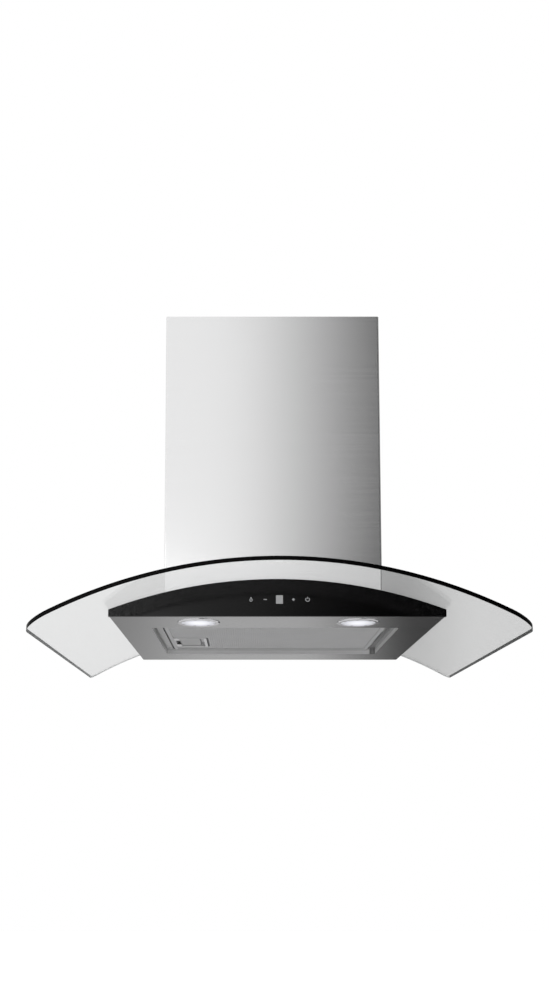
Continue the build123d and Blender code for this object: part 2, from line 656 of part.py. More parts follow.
def latch_slider():
    """Sliding plate with a push face in the finger slot and a bolt through the frame."""
    half = LATCH_LENGTH / 2
    z0 = RECESS_DEEP + FILTER_SKIN + SEAT
    plate = block(PLATE_LEFT, PLATE_RIGHT, LATCH_Y - half, LATCH_Y + half, z0, z0 + LATCH_SHEET)
    finger = FINGER_LENGTH / 2
    push_face = block(PLATE_LEFT, PLATE_LEFT + LATCH_SHEET, LATCH_Y - finger, LATCH_Y + finger, z0,
                      BOLT_Z + BOLT_THICK)
    nose = -WINDOW_X + NOSE_GAP
    bolt = block(nose, PLATE_LEFT + LATCH_SHEET, LATCH_Y - BOLT_WIDTH / 2, LATCH_Y + BOLT_WIDTH / 2,
                 BOLT_Z, BOLT_Z + BOLT_THICK)
    stop = block(PLATE_RIGHT - LATCH_SHEET, PLATE_RIGHT, LATCH_Y - STOP_TAB / 2,
                 LATCH_Y + STOP_TAB / 2, z0, BOLT_Z + BOLT_THICK)
    return plate + push_face + bolt + stop


def latch_spring():
    """Leaf spring on the tray's right wall, drawn pressed flat as with the latch pulled back."""
    x1 = TRAY_RIGHT - FILTER_SKIN
    thick = SPRING_THICK
    low = RECESS_DEEP + SPRING_LOW
    high = BOLT_Z + BOLT_THICK
    foot = SPRING_LENGTH / 2
    crest = SPRING_CREST / 2
    outline = rectangle(x1 - thick, x1, LATCH_Y - foot, LATCH_Y + foot)
    outline += rectangle(x1 - SPRING_BOW - thick, x1 - SPRING_BOW, LATCH_Y - crest, LATCH_Y + crest)
    for side in (-1, 1):
        near = LATCH_Y + side * crest
        far = LATCH_Y + side * (foot - thick)
        corners = [(x1 - SPRING_BOW - thick, near), (x1 - SPRING_BOW, near), (x1, far), (x1 - thick, far)]
        outline += make_face(Polyline(*corners, close=True))
    return extrude(Pos(0, 0, low) * outline, high - low)


# ================================================================ motor housing
def wall_spots():
    """Centres of the four wall screws."""
    return [(sx * WALL_SPREAD_X / 2, WALL_FIX_Z + sz * WALL_SPREAD_Z / 2)
            for sx in (-1, 1) for sz in (-1, 1)]


def housing_shell():
    """Galvanised back and sides of the motor housing, with a return for the front cover."""
    front = SHEET - HOUSING_DEPTH
    inner = HALF_HOUSING - SHEET
    wrap = rectangle(-HALF_HOUSING, HALF_HOUSING, front, 0) - rectangle(-inner, inner, front, -SHEET)
    for side in (-1, 1):
        edge = inner - CHIMNEY_RETURN / 2
        wrap += Pos(side * edge, front + SHEET / 2) * Rectangle(CHIMNEY_RETURN, SHEET)
    walls = extrude(wrap, SCROLL_TOP) - arch(FLANGE_RADIUS)
    for x, z in wall_spots():
        walls -= rod_y(x, z, WALL_HOLE_RADIUS, -2 * SHEET, SHEET)
    for x, z in cover_screw_spots():
        walls -= rod_y(x, z, SMALL_HOLE, front - SHEET, front + 2 * SHEET)
    return walls


def housing_foot():
    """Curved foot flange that clamps the glass through the gasket."""
    foot = curved_sheet(foot_outline(), GASKET_RADIUS, SHEET)
    return glass_holes(foot, GASKET_RADIUS, CLAMP_HOLE)


def housing_top():
    """Roof of the motor housing, with the air outlet and the hole for the gland."""
    roof = rectangle(-HALF_HOUSING, HALF_HOUSING, SHEET - HOUSING_DEPTH, 0)
    opening = Rectangle(4 * DUCT_RADIUS, SCROLL_DEPTH - 2 * SCROLL_WALL)
    roof -= Pos(0, DUCT_Y) * (Circle(DUCT_RADIUS - COLLAR_WALL) & opening)
    roof -= Pos(*gland_spot()) * Circle(GLAND_THREAD)
    return extrude(Pos(0, 0, SCROLL_TOP) * roof, SHEET)


def cover_screw_spots():
    """Centres of the screws that hold the front cover."""
    x = HALF_HOUSING - SHEET - CHIMNEY_RETURN / 2
    high = HOUSING_TOP - COVER_SCREW_INSET
    return [(s * x, z) for s in (-1, 1) for z in (COVER_SCREW_FOOT, (COVER_SCREW_FOOT + high) / 2, high)]


def housing_cover():
    """Flat service cover on the front of the motor housing, folded over the top."""
    front = -HOUSING_DEPTH
    cover = mirrored_block(HALF_HOUSING, front, front + SHEET, 0, HOUSING_TOP + SHEET)
    cover += mirrored_block(HALF_HOUSING, front, front + COVER_FOLD, HOUSING_TOP, HOUSING_TOP + SHEET)
    cover -= arch(FLANGE_RADIUS)
    for x, z in cover_screw_spots():
        cover -= rod_y(x, z, SMALL_HOLE, front - SHEET, front + 2 * SHEET)
    return cover


def cover_screws():
    screw = Rot(90, 0, 0) * pan_head(SMALL_HEAD, SMALL_HEAD_TALL, SMALL_SHANK, SMALL_LENGTH)
    return [Pos(x, -HOUSING_DEPTH, z) * screw for x, z in cover_screw_spots()]


def gland_spot():
    return HALF_HOUSING - GLAND_SIDE, -GLAND_REAR


def cable_gland():
    """Gland for the mains cord in the top of the motor housing."""
    x, y = gland_spot()
    cap = HOUSING_TOP + GLAND_HEX_TALL
    gland = extrude(Pos(x, y, HOUSING_TOP) * RegularPolygon(GLAND_HEX, 6), GLAND_HEX_TALL)
    gland += rod_z(x, y, GLAND_CAP, cap, cap + GLAND_CAP)
    gland += rod_z(x, y, GLAND_THREAD, HOUSING_TOP - GLAND_CAP, HOUSING_TOP)
    gland += extrude(Pos(x, y, SCROLL_TOP - GLAND_NUT_TALL) * RegularPolygon(GLAND_NUT, 6), GLAND_NUT_TALL)
    return gland - rod_z(x, y, GLAND_BORE, HOUSING_TOP - 2 * GLAND_CAP, cap + 2 * GLAND_CAP)


# ================================================================ blower
def scroll_air():
    """The air space of the scroll, drawn as three quarter arcs and a widening mouth."""
    half = SCROLL_GROWTH / 2
    first = SCROLL_FIRST
    tip = (WHEEL_X - half, WHEEL_Z - half + first)
    left = (WHEEL_X - half - first, WHEEL_Z - half)
    bottom = (WHEEL_X + half, WHEEL_Z - half - first - SCROLL_GROWTH)
    right = (WHEEL_X + half + first + 2 * SCROLL_GROWTH, WHEEL_Z + half)
    top_left = RadiusArc(tip, left, -first)
    low_left = RadiusArc(left, bottom, -first - SCROLL_GROWTH)
    low_right = RadiusArc(bottom, right, -first - 2 * SCROLL_GROWTH)
    mouth = Polyline(right, (MOUTH_RIGHT, SCROLL_TOP), (MOUTH_LEFT, SCROLL_TOP), tip)
    return make_face(Curve() + [top_left, low_left, low_right, mouth])


def scroll_half(y0, y1, plate_y0, plate_y1, lip_y0, lip_y1):
    """Half of the scroll: wall, side plate with an inlet ring, seam flange and mouth flange."""
    air = scroll_air()
    grown = offset(air, SCROLL_WALL, kind=Kind.ARC)
    seam = offset(air, SCROLL_RIM, kind=Kind.ARC)
    seam_y0 = max(y0, DUCT_Y - SEAM_WIDTH)
    seam_y1 = min(y1, DUCT_Y + SEAM_WIDTH)
    half = along_y(grown, y0, y1) + along_y(seam, seam_y0, seam_y1)
    flange_left = MOUTH_LEFT - MOUTH_FLANGE
    flange_right = MOUTH_RIGHT + MOUTH_FLANGE
    half += block(flange_left, flange_right, y0, y1, SCROLL_TOP - SCROLL_WALL, SCROLL_TOP)
    half -= along_y(air, y0 - SCROLL_WALL, y1 + SCROLL_WALL)
    half += along_y(grown, plate_y0, plate_y1)
    half += rod_y(WHEEL_X, WHEEL_Z, INLET_RADIUS + INLET_LIP, lip_y0, lip_y1)
    half -= rod_y(WHEEL_X, WHEEL_Z, INLET_RADIUS, y0 - SCROLL_DEPTH, y1 + SCROLL_DEPTH)
    roof = mirrored_block(HALF_HOUSING, -HOUSING_DEPTH, 0, SCROLL_TOP, 2 * SCROLL_TOP)
    return half - roof


def scroll_front():
    y0 = DUCT_Y - SCROLL_DEPTH / 2
    return scroll_half(y0, DUCT_Y, y0, y0 + SCROLL_WALL, y0, y0 + INLET_LIP_DEEP)


BUSH_TURNS = (90, 210, 330)  # places of the three motor bushes round the wheel, in degrees


def round_wheel(turn, radius):
    """A place round the wheel's axis, with local Z pointing to the room."""
    return Plane.XZ.location * Pos(WHEEL_X, WHEEL_Z, 0) * Rot(0, 0, turn) * Pos(radius, 0, 0)


def scroll_back():
    y1 = SCROLL_BACK_Y
    half = scroll_half(DUCT_Y, y1, y1 - SCROLL_WALL, y1, y1 - INLET_LIP_DEEP, y1)
    for turn in BUSH_TURNS:
        half -= round_wheel(turn, BUSH_CIRCLE) * Cylinder(MOTOR_SHANK, -4 * y1)
    return half


def on_wheel(shape):
    """A shape drawn on the wheel's axis from its rear end forwards, moved into the hood."""
    return Plane.XZ.offset(-WHEEL_BACK_Y) * Pos(WHEEL_X, WHEEL_Z) * shape


def impeller():
    """Middle disc and hub of the double-inlet wheel."""
    middle = WHEEL_LENGTH / 2
    disc = Circle(WHEEL_RADIUS - DISC_INSET)
    disc -= PolarLocations(WHEEL_INNER * 0.62, DISC_HOLES) * Circle(DISC_HOLE_RADIUS)
    core = extrude(Pos(0, 0, middle - DISC_THICK / 2) * disc, DISC_THICK)
    core += extrude(Pos(0, 0, middle - HUB_TAIL) * Circle(HUB_RADIUS), HUB_TAIL + HUB_NOSE)
    return on_wheel(core - extrude(Circle(SHAFT_RADIUS), WHEEL_LENGTH))


def blade_ring():
    """Half of the wheel: forward-curved blades that stand on an end ring, up to the disc."""
    reach = (WHEEL_LENGTH - DISC_THICK) / 2
    ring = extrude(Circle(WHEEL_RADIUS) - Circle(WHEEL_INNER - BLADE_THICK), END_RING)
    root = (WHEEL_INNER, 0)
    tip = Vector(WHEEL_RADIUS - TIP_INSET, 0).rotate(Axis.Z, BLADE_LEAN)
    belly_radius = (WHEEL_INNER + WHEEL_RADIUS) / 2 + BLADE_BELLY
    belly = Vector(belly_radius, 0).rotate(Axis.Z, BLADE_LEAN / 5)
    profile = Pos(0, 0, END_RING / 2) * trace(ThreePointArc(root, belly, tip), BLADE_THICK)
    blade = extrude(profile, reach - END_RING / 2)
    return ring + [Rot(0, 0, 360 / BLADES * k) * blade for k in range(BLADES)]


def impeller_rear():
    return on_wheel(blade_ring())


def impeller_front():
    """The other half is the same ring of blades, seen in a mirror at the disc."""
    return on_wheel(mirror(blade_ring(), about=Plane.XY.offset(WHEEL_LENGTH / 2)))


MOTOR_FRONT_Y = ARM_Y + ARM_THICK - MOTOR_LENGTH
HUB_FRONT_Y = DUCT_Y - HUB_NOSE


def motor():
    """Capacitor motor: two pressed end shells round a laminated core, with a bearing boss."""
    back_y = ARM_Y
    nose_y = MOTOR_FRONT_Y - BOSS_TALL
    body = rod_y(WHEEL_X, WHEEL_Z, MOTOR_RADIUS - MOTOR_SHELL_INSET, MOTOR_FRONT_Y, back_y)
    body = fillet(body.edges().filter_by(GeomType.CIRCLE), MOTOR_BEND)
    middle = (MOTOR_FRONT_Y + back_y) / 2
    body += rod_y(WHEEL_X, WHEEL_Z, MOTOR_RADIUS, middle - MOTOR_CORE / 2, middle + MOTOR_CORE / 2)
    body += rod_y(WHEEL_X, WHEEL_Z, BOSS_RADIUS, nose_y, MOTOR_FRONT_Y)
    body += rod_y(WHEEL_X, WHEEL_Z, REAR_BOSS_RADIUS, back_y, back_y + ARM_THICK + REAR_BOSS_TALL)
    return body - rod_y(WHEEL_X, WHEEL_Z, SHAFT_RADIUS + SHAFT_FIT, nose_y - SHEET, middle)


def motor_shaft():
    middle = (MOTOR_FRONT_Y + ARM_Y) / 2
    end_y = HUB_FRONT_Y - HUB_NUT_TALL - SCROLL_WALL
    return rod_y(WHEEL_X, WHEEL_Z, SHAFT_RADIUS, end_y, middle - SEAT)


def hub_nut():
    """Nut on the end of the shaft, against the wheel's hub."""
    outline = Pos(WHEEL_X, WHEEL_Z) * (RegularPolygon(HUB_NUT, 6) - Circle(SHAFT_RADIUS))
    return along_y(outline, HUB_FRONT_Y - HUB_NUT_TALL, HUB_FRONT_Y)


def motor_bracket():
    """Three-armed bracket that carries the motor in the rear inlet."""
    star = Circle(ARM_RING) - Circle(REAR_BOSS_RADIUS)
    arm = SlotOverall(BUSH_CIRCLE - ARM_ROOT + ARM_WIDTH, ARM_WIDTH)
    for turn in BUSH_TURNS:
        star += Rot(0, 0, turn) * Pos((BUSH_CIRCLE + ARM_ROOT) / 2, 0) * arm
        star -= Rot(0, 0, turn) * Pos(BUSH_CIRCLE, 0) * Circle(MOTOR_SHANK)
    return along_y(Pos(WHEEL_X, WHEEL_Z) * star, ARM_Y, ARM_Y + ARM_THICK)


def motor_bushes():
    """Three rubber bushes between bracket and scroll."""
    bush = extrude(Circle(BUSH_RADIUS) - Circle(MOTOR_SHANK), BUSH_LENGTH)
    return [Pos(0, ARM_Y, 0) * round_wheel(turn, BUSH_CIRCLE) * bush for turn in BUSH_TURNS]


def motor_screws():
    length = ARM_THICK + BUSH_LENGTH + SCROLL_WALL
    screw = Rot(180, 0, 0) * pan_head(MOTOR_HEAD, MOTOR_HEAD_TALL, MOTOR_SHANK, length)
    place = Pos(0, ARM_Y + ARM_THICK, 0)
    return [place * round_wheel(turn, BUSH_CIRCLE) * screw for turn in BUSH_TURNS]


INNER_WALL = HALF_HOUSING - SHEET
CAPACITOR_X = INNER_WALL - CLIP_THICK - CAPACITOR_RADIUS
CAPACITOR_Y = (BOX_FRONT_AIR - HOUSING_DEPTH - BOX_REAR) / 2
CAPACITOR_LOW = BOX_LOW + BOX_TALL + CAPACITOR_AIR


def control_box():
    """Closed box for the mains electronics on the right wall of the housing."""
    front = BOX_FRONT_AIR - HOUSING_DEPTH
    box = block(INNER_WALL - BOX_DEEP, INNER_WALL, front, -BOX_REAR, BOX_LOW, BOX_LOW + BOX_TALL)
    return fillet(box.edges().filter_by(Axis.X), BOX_CORNER)


def capacitor():
    """Motor capacitor above the control box."""
    high = CAPACITOR_LOW + CAPACITOR_TALL
    can = rod_z(CAPACITOR_X, CAPACITOR_Y, CAPACITOR_RADIUS, CAPACITOR_LOW, high)
    return fillet(can.edges().filter_by(GeomType.CIRCLE), CAPACITOR_RADIUS / 7)


def capacitor_clip():
    """Band round the capacitor with an ear that lies on the housing's wall."""
    outline = Pos(CAPACITOR_X, CAPACITOR_Y) * Circle(CAPACITOR_RADIUS + CLIP_THICK)
    outline += Pos(INNER_WALL - CLIP_THICK / 2, CAPACITOR_Y) * Rectangle(CLIP_THICK, CLIP_EAR)
    outline -= Pos(CAPACITOR_X, CAPACITOR_Y) * Circle(CAPACITOR_RADIUS)
    low = CAPACITOR_LOW + (CAPACITOR_TALL - CLIP_WIDTH) / 2
    return extrude(Pos(0, 0, low) * outline, CLIP_WIDTH)


# ================================================================ outlet collar and flaps
def outlet_collar():
    """Round spigot for the duct, with a base ring, flap stops and holes for the flap pin."""
    bore = DUCT_RADIUS - COLLAR_WALL
    collar = rod_z(0, DUCT_Y, DUCT_RADIUS, HOUSING_TOP, HOUSING_TOP + DUCT_HEIGHT)
    collar += rod_z(0, DUCT_Y, DUCT_RADIUS + COLLAR_FOOT, HOUSING_TOP, HOUSING_TOP + COLLAR_WALL)
    collar -= rod_z(0, DUCT_Y, bore, HOUSING_TOP - SHEET, HOUSING_TOP + DUCT_HEIGHT + SHEET)
    high = FLAP_Z - FLAP_THICK / 2 - SEAT
    half = FLAP_STOP_WIDTH / 2
    near = bore - FLAP_STOP_REACH
    far = bore + COLLAR_WALL / 2
    for turn in FLAP_STOPS:
        stop = block(near, far, -half, half, high - FLAP_STOP_TALL, high)
        collar += Pos(0, DUCT_Y, 0) * Rot(0, 0, turn) * stop
    reach = 2 * DUCT_RADIUS
    return collar - rod_y(0, FLAP_Z, PIN_RADIUS, DUCT_Y - reach, DUCT_Y + reach)


def flap_pin():
    reach = DUCT_RADIUS - SEAT
    return rod_y(0, FLAP_Z, PIN_RADIUS, DUCT_Y - reach, DUCT_Y + reach)


def flap(side):
    """Half-moon flap with two knuckles on the common pin. Side is -1 left, 1 right."""
    radius = DUCT_RADIUS - COLLAR_WALL - FLAP_EDGE_GAP
    edge = KNUCKLE_RADIUS + 1
    span = 2 * radius
    outline = Circle(radius) & Pos(edge + span / 2, 0) * Rectangle(span, span)
    starts = [KNUCKLE_PITCH * (k - 2) for k in ((0, 2) if side < 0 else (1, 3))]
    knuckles = []
    for start in starts:
        middle = start + KNUCKLE_LENGTH / 2
        outline += Pos(edge / 2 + 0.5, middle) * Rectangle(edge + 1, KNUCKLE_LENGTH)
        barrel_y = DUCT_Y + start
        knuckles.append(rod_y(0, FLAP_Z, KNUCKLE_RADIUS, barrel_y, barrel_y + KNUCKLE_LENGTH))
    plate = extrude(Pos(0, 0, -FLAP_THICK / 2) * outline, FLAP_THICK)
    if side < 0:
        plate = mirror(plate, about=Plane.YZ)
    plate = Pos(0, DUCT_Y, FLAP_Z) * plate + knuckles
    return plate - rod_y(0, FLAP_Z, PIN_RADIUS + PIN_FIT, -HOUSING_DEPTH, 0)


# ================================================================ chimney
def chimney_outline(half_width, depth, sheet, back_y):
    """A bent sheet seen from above: front, two sides and two narrow returns at the wall."""
    width = 2 * half_width
    length = depth + back_y
    sheet_outline = RectangleRounded(width, length, CHIMNEY_BEND)
    sheet_outline -= RectangleRounded(width - 2 * sheet, length - 2 * sheet, CHIMNEY_BEND - sheet)
    slot = half_width - CHIMNEY_RETURN
    middle = Pos(0, (back_y - depth) / 2)
    return middle * sheet_outline - rectangle(-slot, slot, back_y - 2 * CHIMNEY_BEND, sheet)


def side_hole(x, y, z, radius):
    """A round cutter through both skins near one side of the chimney."""
    return Pos(x, y, z) * Rot(0, 90, 0) * Cylinder(radius, SMALL_LENGTH)


def chimney_lower():
    """Lower chimney section, cut below to the bend of the glass."""
    outline = chimney_outline(CHIMNEY_WIDTH / 2, CHIMNEY_DEPTH, CHIMNEY_SHEET, 0)
    tube = extrude(outline, CHIMNEY_TOP) - arch(GLASS_TOP_RADIUS)
    for side in (-1, 1):
        tube -= side_hole(side * CHIMNEY_WIDTH / 2, CHIMNEY_SCREW_Y, STOP_SCREW_Z, LOOSE_HOLE)
    return tube


UPPER_X = CHIMNEY_WIDTH / 2 - CHIMNEY_SHEET - SLEEVE_GAP
UPPER_DEPTH = CHIMNEY_DEPTH - CHIMNEY_SHEET - SLEEVE_GAP
UPPER_BACK_Y = -CHIMNEY_SHEET - 2 * SLEEVE_GAP
STOP_TOP = UPPER_BOTTOM - SEAT
STOP_SCREW_Z = STOP_TOP - STOP_LEG / 2
CHIMNEY_SCREW_Y = -STOP_REAR


def chimney_upper():
    """Upper chimney section, which slides up out of the lower one."""
    outline = chimney_outline(UPPER_X, UPPER_DEPTH, CHIMNEY_SHEET, UPPER_BACK_Y)
    tube = extrude(Pos(0, 0, UPPER_BOTTOM) * outline, UPPER_TOP - UPPER_BOTTOM)
    for side in (-1, 1):
        tube -= side_hole(side * UPPER_X, TOP_SCREW_Y, TOP_BRACKET_Z, LOOSE_HOLE)
    return tube


def stop_bracket(side, y):
    """Angle on the housing's side that steadies the lower section and stops the upper one."""
    thick = STOP_THICK
    reach = CHIMNEY_WIDTH / 2 - CHIMNEY_SHEET
    y0 = y - STOP_WIDTH / 2
    y1 = y + STOP_WIDTH / 2
    low = STOP_TOP - STOP_LEG
    bracket = block(HALF_HOUSING, reach, y0, y1, STOP_TOP - thick, STOP_TOP)
    bracket += block(HALF_HOUSING, HALF_HOUSING + thick, y0, y1, low, STOP_TOP)
    bracket += block(reach - thick, reach, y0, y1, low, STOP_TOP)
    bracket -= side_hole(reach, y, STOP_SCREW_Z, SMALL_SHANK)
    return bracket if side > 0 else mirror(bracket, about=Plane.YZ)


def chimney_screws():
    """Two screws through the sides of the lower section, near the wall."""
    screws = []
    for side in (-1, 1):
        screw = Rot(0, side * 90, 0) * pan_head(MOTOR_HEAD, SMALL_HEAD_TALL, SMALL_SHANK, SMALL_LENGTH)
        screws.append(Pos(side * CHIMNEY_WIDTH / 2, CHIMNEY_SCREW_Y, STOP_SCREW_Z) * screw)
    return screws


TOP_BRACKET_Z = UPPER_TOP - TOP_BRACKET_BELOW
TOP_SCREW_Y = -TOP_SCREW_REAR


def top_bracket():
    """Wall bracket for the top of the chimney, with offset ears screwed to the sheet."""
    thick = TOP_BRACKET_THICK
    ear = UPPER_X - CHIMNEY_SHEET
    low = TOP_BRACKET_Z - TOP_BRACKET_TALL / 2
    high = TOP_BRACKET_Z + TOP_BRACKET_TALL / 2
    step_x = UPPER_X - CHIMNEY_RETURN - 2 * CHIMNEY_SHEET
    step_y = UPPER_BACK_Y - CHIMNEY_SHEET - TOP_BRACKET_AIR
    plate = mirrored_block(step_x, -thick, 0, low, high)
    for side in (-1, 1):
        leg = block(step_x - thick, step_x, step_y, 0, low, high)
        leg += block(step_x - thick, ear, step_y - thick, step_y, low, high)
        leg += block(ear - thick, ear, TOP_SCREW_Y - TOP_EAR_WIDTH / 2, step_y, low, high)
        leg -= side_hole(ear, TOP_SCREW_Y, TOP_BRACKET_Z, SMALL_SHANK)
        plate += leg if side > 0 else mirror(leg, about=Plane.YZ)
        hole_x = side * TOP_BRACKET_SPREAD / 2
        plate -= rod_y(hole_x, TOP_BRACKET_Z, TOP_BRACKET_HOLE, -2 * thick, thick)
    return plate


TOP_REACH = SMALL_LENGTH - CHIMNEY_SHEET


def top_screws():
    """Two flat-headed screws through the upper section into the bracket's ears."""
    screws = []
    for side in (-1, 1):
        screw = Rot(0, side * 90, 0) * pan_head(SMALL_HEAD, FLAT_HEAD_TALL, SMALL_SHANK, TOP_REACH)
        screws.append(Pos(side * UPPER_X, TOP_SCREW_Y, TOP_BRACKET_Z) * screw)
    return screws


# ================================================================ the whole hood
def group(shapes):
    """Several loose pieces of one kind, as one shape."""
    return Part() + list(shapes)


save("canopy_shell", canopy_shell())
save("canopy_top_plate", canopy_top_plate())
save("glass_seal", glass_seal())
save("glass_canopy", glass_canopy())
save("housing_gasket", housing_gasket())
save("glass_screws", group(glass_screws()))
save("glass_nuts", group(glass_nuts()))

save("front_fascia", front_fascia())
save("display_window", display_window())
save("fascia_tape", fascia_tape())
save("touch_board", touch_board())
save("board_spacers", group(board_spacers()))
save("display_module", display_module())

for name, side in (("left", -1), ("right", 1)):
    save(f"lamp_bezel_{name}", lamp_place(side) * lamp_bezel())
    save(f"lamp_lens_{name}", lamp_place(side) * lamp_lens())
    save(f"lamp_module_{name}", lamp_place(side) * lamp_module())
save("led_driver", led_driver())

save("filter_frame", filter_frame())
save("filter_mesh", filter_mesh())
save("filter_tongues", group(filter_tongues()))
save("latch_tray", latch_tray())
save("latch_slider", latch_slider())
save("latch_spring", latch_spring())

save("housing_shell", housing_shell())
save("housing_foot", housing_foot())
save("housing_top", housing_top())
save("housing_cover", housing_cover())
save("cover_screws", group(cover_screws()))
save("cable_gland", cable_gland())

save("scroll_front", scroll_front())
save("scroll_back", scroll_back())
save("impeller", impeller())
save("impeller_front", impeller_front())
save("impeller_rear", impeller_rear())
save("motor", motor())
save("motor_shaft", motor_shaft())
save("hub_nut", hub_nut())
save("motor_bracket", motor_bracket())
save("motor_bushes", group(motor_bushes()))
save("motor_screws", group(motor_screws()))
save("control_box", control_box())
save("capacitor", capacitor())
save("capacitor_clip", capacitor_clip())

save("outlet_collar", outlet_collar())
save("flap_pin", flap_pin())
save("flap_left", flap(-1))
save("flap_right", flap(1))

save("chimney_lower", chimney_lower())
save("chimney_upper", chimney_upper())
for place, y in (("rear", -STOP_REAR), ("front", STOP_FRONT_INSET - HOUSING_DEPTH)):
    for name, side in (("left", -1), ("right", 1)):
        save(f"stop_bracket_{place}_{name}", stop_bracket(side, y))
save("chimney_screws", group(chimney_screws()))
save("top_bracket", top_bracket())
save("top_screws", group(top_screws()))
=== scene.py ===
# %% [markdown]
# # A wall hood with a bent glass canopy
# The hood arrives as a fixed frame: one object for each piece that a workshop would order, already
# in place and in metres. X runs to the right, the wall is the plane y = 0 and the room lies towards
# -Y. This file adds what a frame can't have: the finishes, the light and the fine shapes.

# %% Load the frame
import json
import math

import bmesh
import bpy
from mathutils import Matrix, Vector

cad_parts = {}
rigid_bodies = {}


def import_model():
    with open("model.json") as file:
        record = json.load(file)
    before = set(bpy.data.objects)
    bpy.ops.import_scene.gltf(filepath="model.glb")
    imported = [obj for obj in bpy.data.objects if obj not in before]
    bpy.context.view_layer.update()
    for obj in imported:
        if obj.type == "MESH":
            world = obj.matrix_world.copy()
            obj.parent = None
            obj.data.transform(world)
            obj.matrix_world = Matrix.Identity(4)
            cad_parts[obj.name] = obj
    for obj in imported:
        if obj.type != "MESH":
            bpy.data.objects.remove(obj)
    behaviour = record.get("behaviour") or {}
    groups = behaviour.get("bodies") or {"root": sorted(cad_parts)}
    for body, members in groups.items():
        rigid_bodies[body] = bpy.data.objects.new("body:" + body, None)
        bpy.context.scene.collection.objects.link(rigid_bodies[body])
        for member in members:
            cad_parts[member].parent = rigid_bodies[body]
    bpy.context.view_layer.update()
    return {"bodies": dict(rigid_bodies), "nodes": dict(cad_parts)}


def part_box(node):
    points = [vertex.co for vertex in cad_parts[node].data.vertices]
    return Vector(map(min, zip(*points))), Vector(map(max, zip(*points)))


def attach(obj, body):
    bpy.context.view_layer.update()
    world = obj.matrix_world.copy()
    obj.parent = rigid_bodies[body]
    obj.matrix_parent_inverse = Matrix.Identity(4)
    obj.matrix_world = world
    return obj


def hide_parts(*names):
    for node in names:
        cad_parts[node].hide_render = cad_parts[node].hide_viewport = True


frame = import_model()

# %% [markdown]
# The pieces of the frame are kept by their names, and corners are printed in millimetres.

hood = frame["nodes"]
MM = 0.001


def in_mm(corners):
    """Corners in millimetres, for printing."""
    return [[round(v / MM, 1) for v in corner] for corner in corners]


# %% [markdown]
# ## Where the viewer stands
# The hood is seen from a metre and a half in front of the wall, from below it and slightly to the
# left of its middle. A camera that is tilted up far enough would make upright lines lean. So it is
# tilted by only five degrees, and the lens shift does the rest of the framing, as on a view camera.

# %% Camera
def put_in(name, data):
    """A new object in the scene, at the origin."""
    made = bpy.data.objects.new(name, data)
    bpy.context.scene.collection.objects.link(made)
    return made


lens = bpy.data.cameras.new("camera")
lens.sensor_width = 36.0
lens.lens = 33.79
lens.shift_x = 0.0272
lens.shift_y = 0.2052
camera = put_in("camera", lens)
camera.location = (-0.0377, -1.5554, -0.4006)
camera.rotation_euler = (math.radians(95.33), 0.0, 0.0)
bpy.context.scene.camera = camera
bpy.context.scene.view_settings.view_transform = "Standard"
print("camera in mm:", in_mm([camera.location]), "lens in mm:", round(lens.lens, 2))

# %% [markdown]
# ## Node trees as sums
# A finish is worked out from numbers that vary over the surface. Written with nodes alone, even
# a * b + c is two boxes and four wires. The class Value wraps a socket, so that sums and products
# of values add their Math nodes by themselves. Each operator has its reflected form too, so that a
# plain number may stand first, as in 1 - mask.

# %% Values
class Value:
    """A number or colour that a node gives out."""

    def __init__(self, tree, socket):
        self.tree = tree
        self.socket = socket

    def math(self, operation, a, b):
        return self.tree.math(operation, a, b)

    def __add__(self, other):
        return self.math("ADD", self, other)

    def __radd__(self, other):
        return self.math("ADD", other, self)

    def __sub__(self, other):
        return self.math("SUBTRACT", self, other)

    def __rsub__(self, other):
        return self.math("SUBTRACT", other, self)

    def __mul__(self, other):
        return self.math("MULTIPLY", self, other)

    def __rmul__(self, other):
        return self.math("MULTIPLY", other, self)

    def __truediv__(self, other):
        return self.math("DIVIDE", self, other)

    def __rtruediv__(self, other):
        return self.math("DIVIDE", other, self)

    def __pow__(self, other):
        return self.math("POWER", self, other)

    def __mod__(self, other):
        return self.math("FLOORED_MODULO", self, other)

    def __gt__(self, other):
        return self.math("GREATER_THAN", self, other)

    def __lt__(self, other):
        return self.math("LESS_THAN", self, other)

    def __abs__(self):
        return self.math("ABSOLUTE", self, 0.0)

    def whole(self):
        return self.math("ROUND", self, 0.0)

    def climb(self, low, high, step="LINEAR"):
        """0 at low, 1 at high, and straight between them."""
        sockets = {"Value": self, "From Min": low, "From Max": high}
        return self.tree.node("ShaderNodeMapRange", {"interpolation_type": step}, sockets)

    def rise(self, low, high):
        """0 at low, 1 at high, and a soft step between them."""
        return self.climb(low, high, "SMOOTHSTEP")

    def fall(self, low, high):
        """1 at low, 0 at high, and a soft step between them."""
        return 1.0 - self.rise(low, high)


def between(a, b, share):
    """a where the share is 0, b where it is 1, and a blend of both between them."""
    return a + (b - a) * share


print("a quarter of the way from 2 to 10:", between(2.0, 10.0, 0.25))

# %% [markdown]
# Any other node comes from one method, Tree.node: it takes the node's type, its settings, and the
# numbers or values for its sockets. A trial shows what a sum turns into.

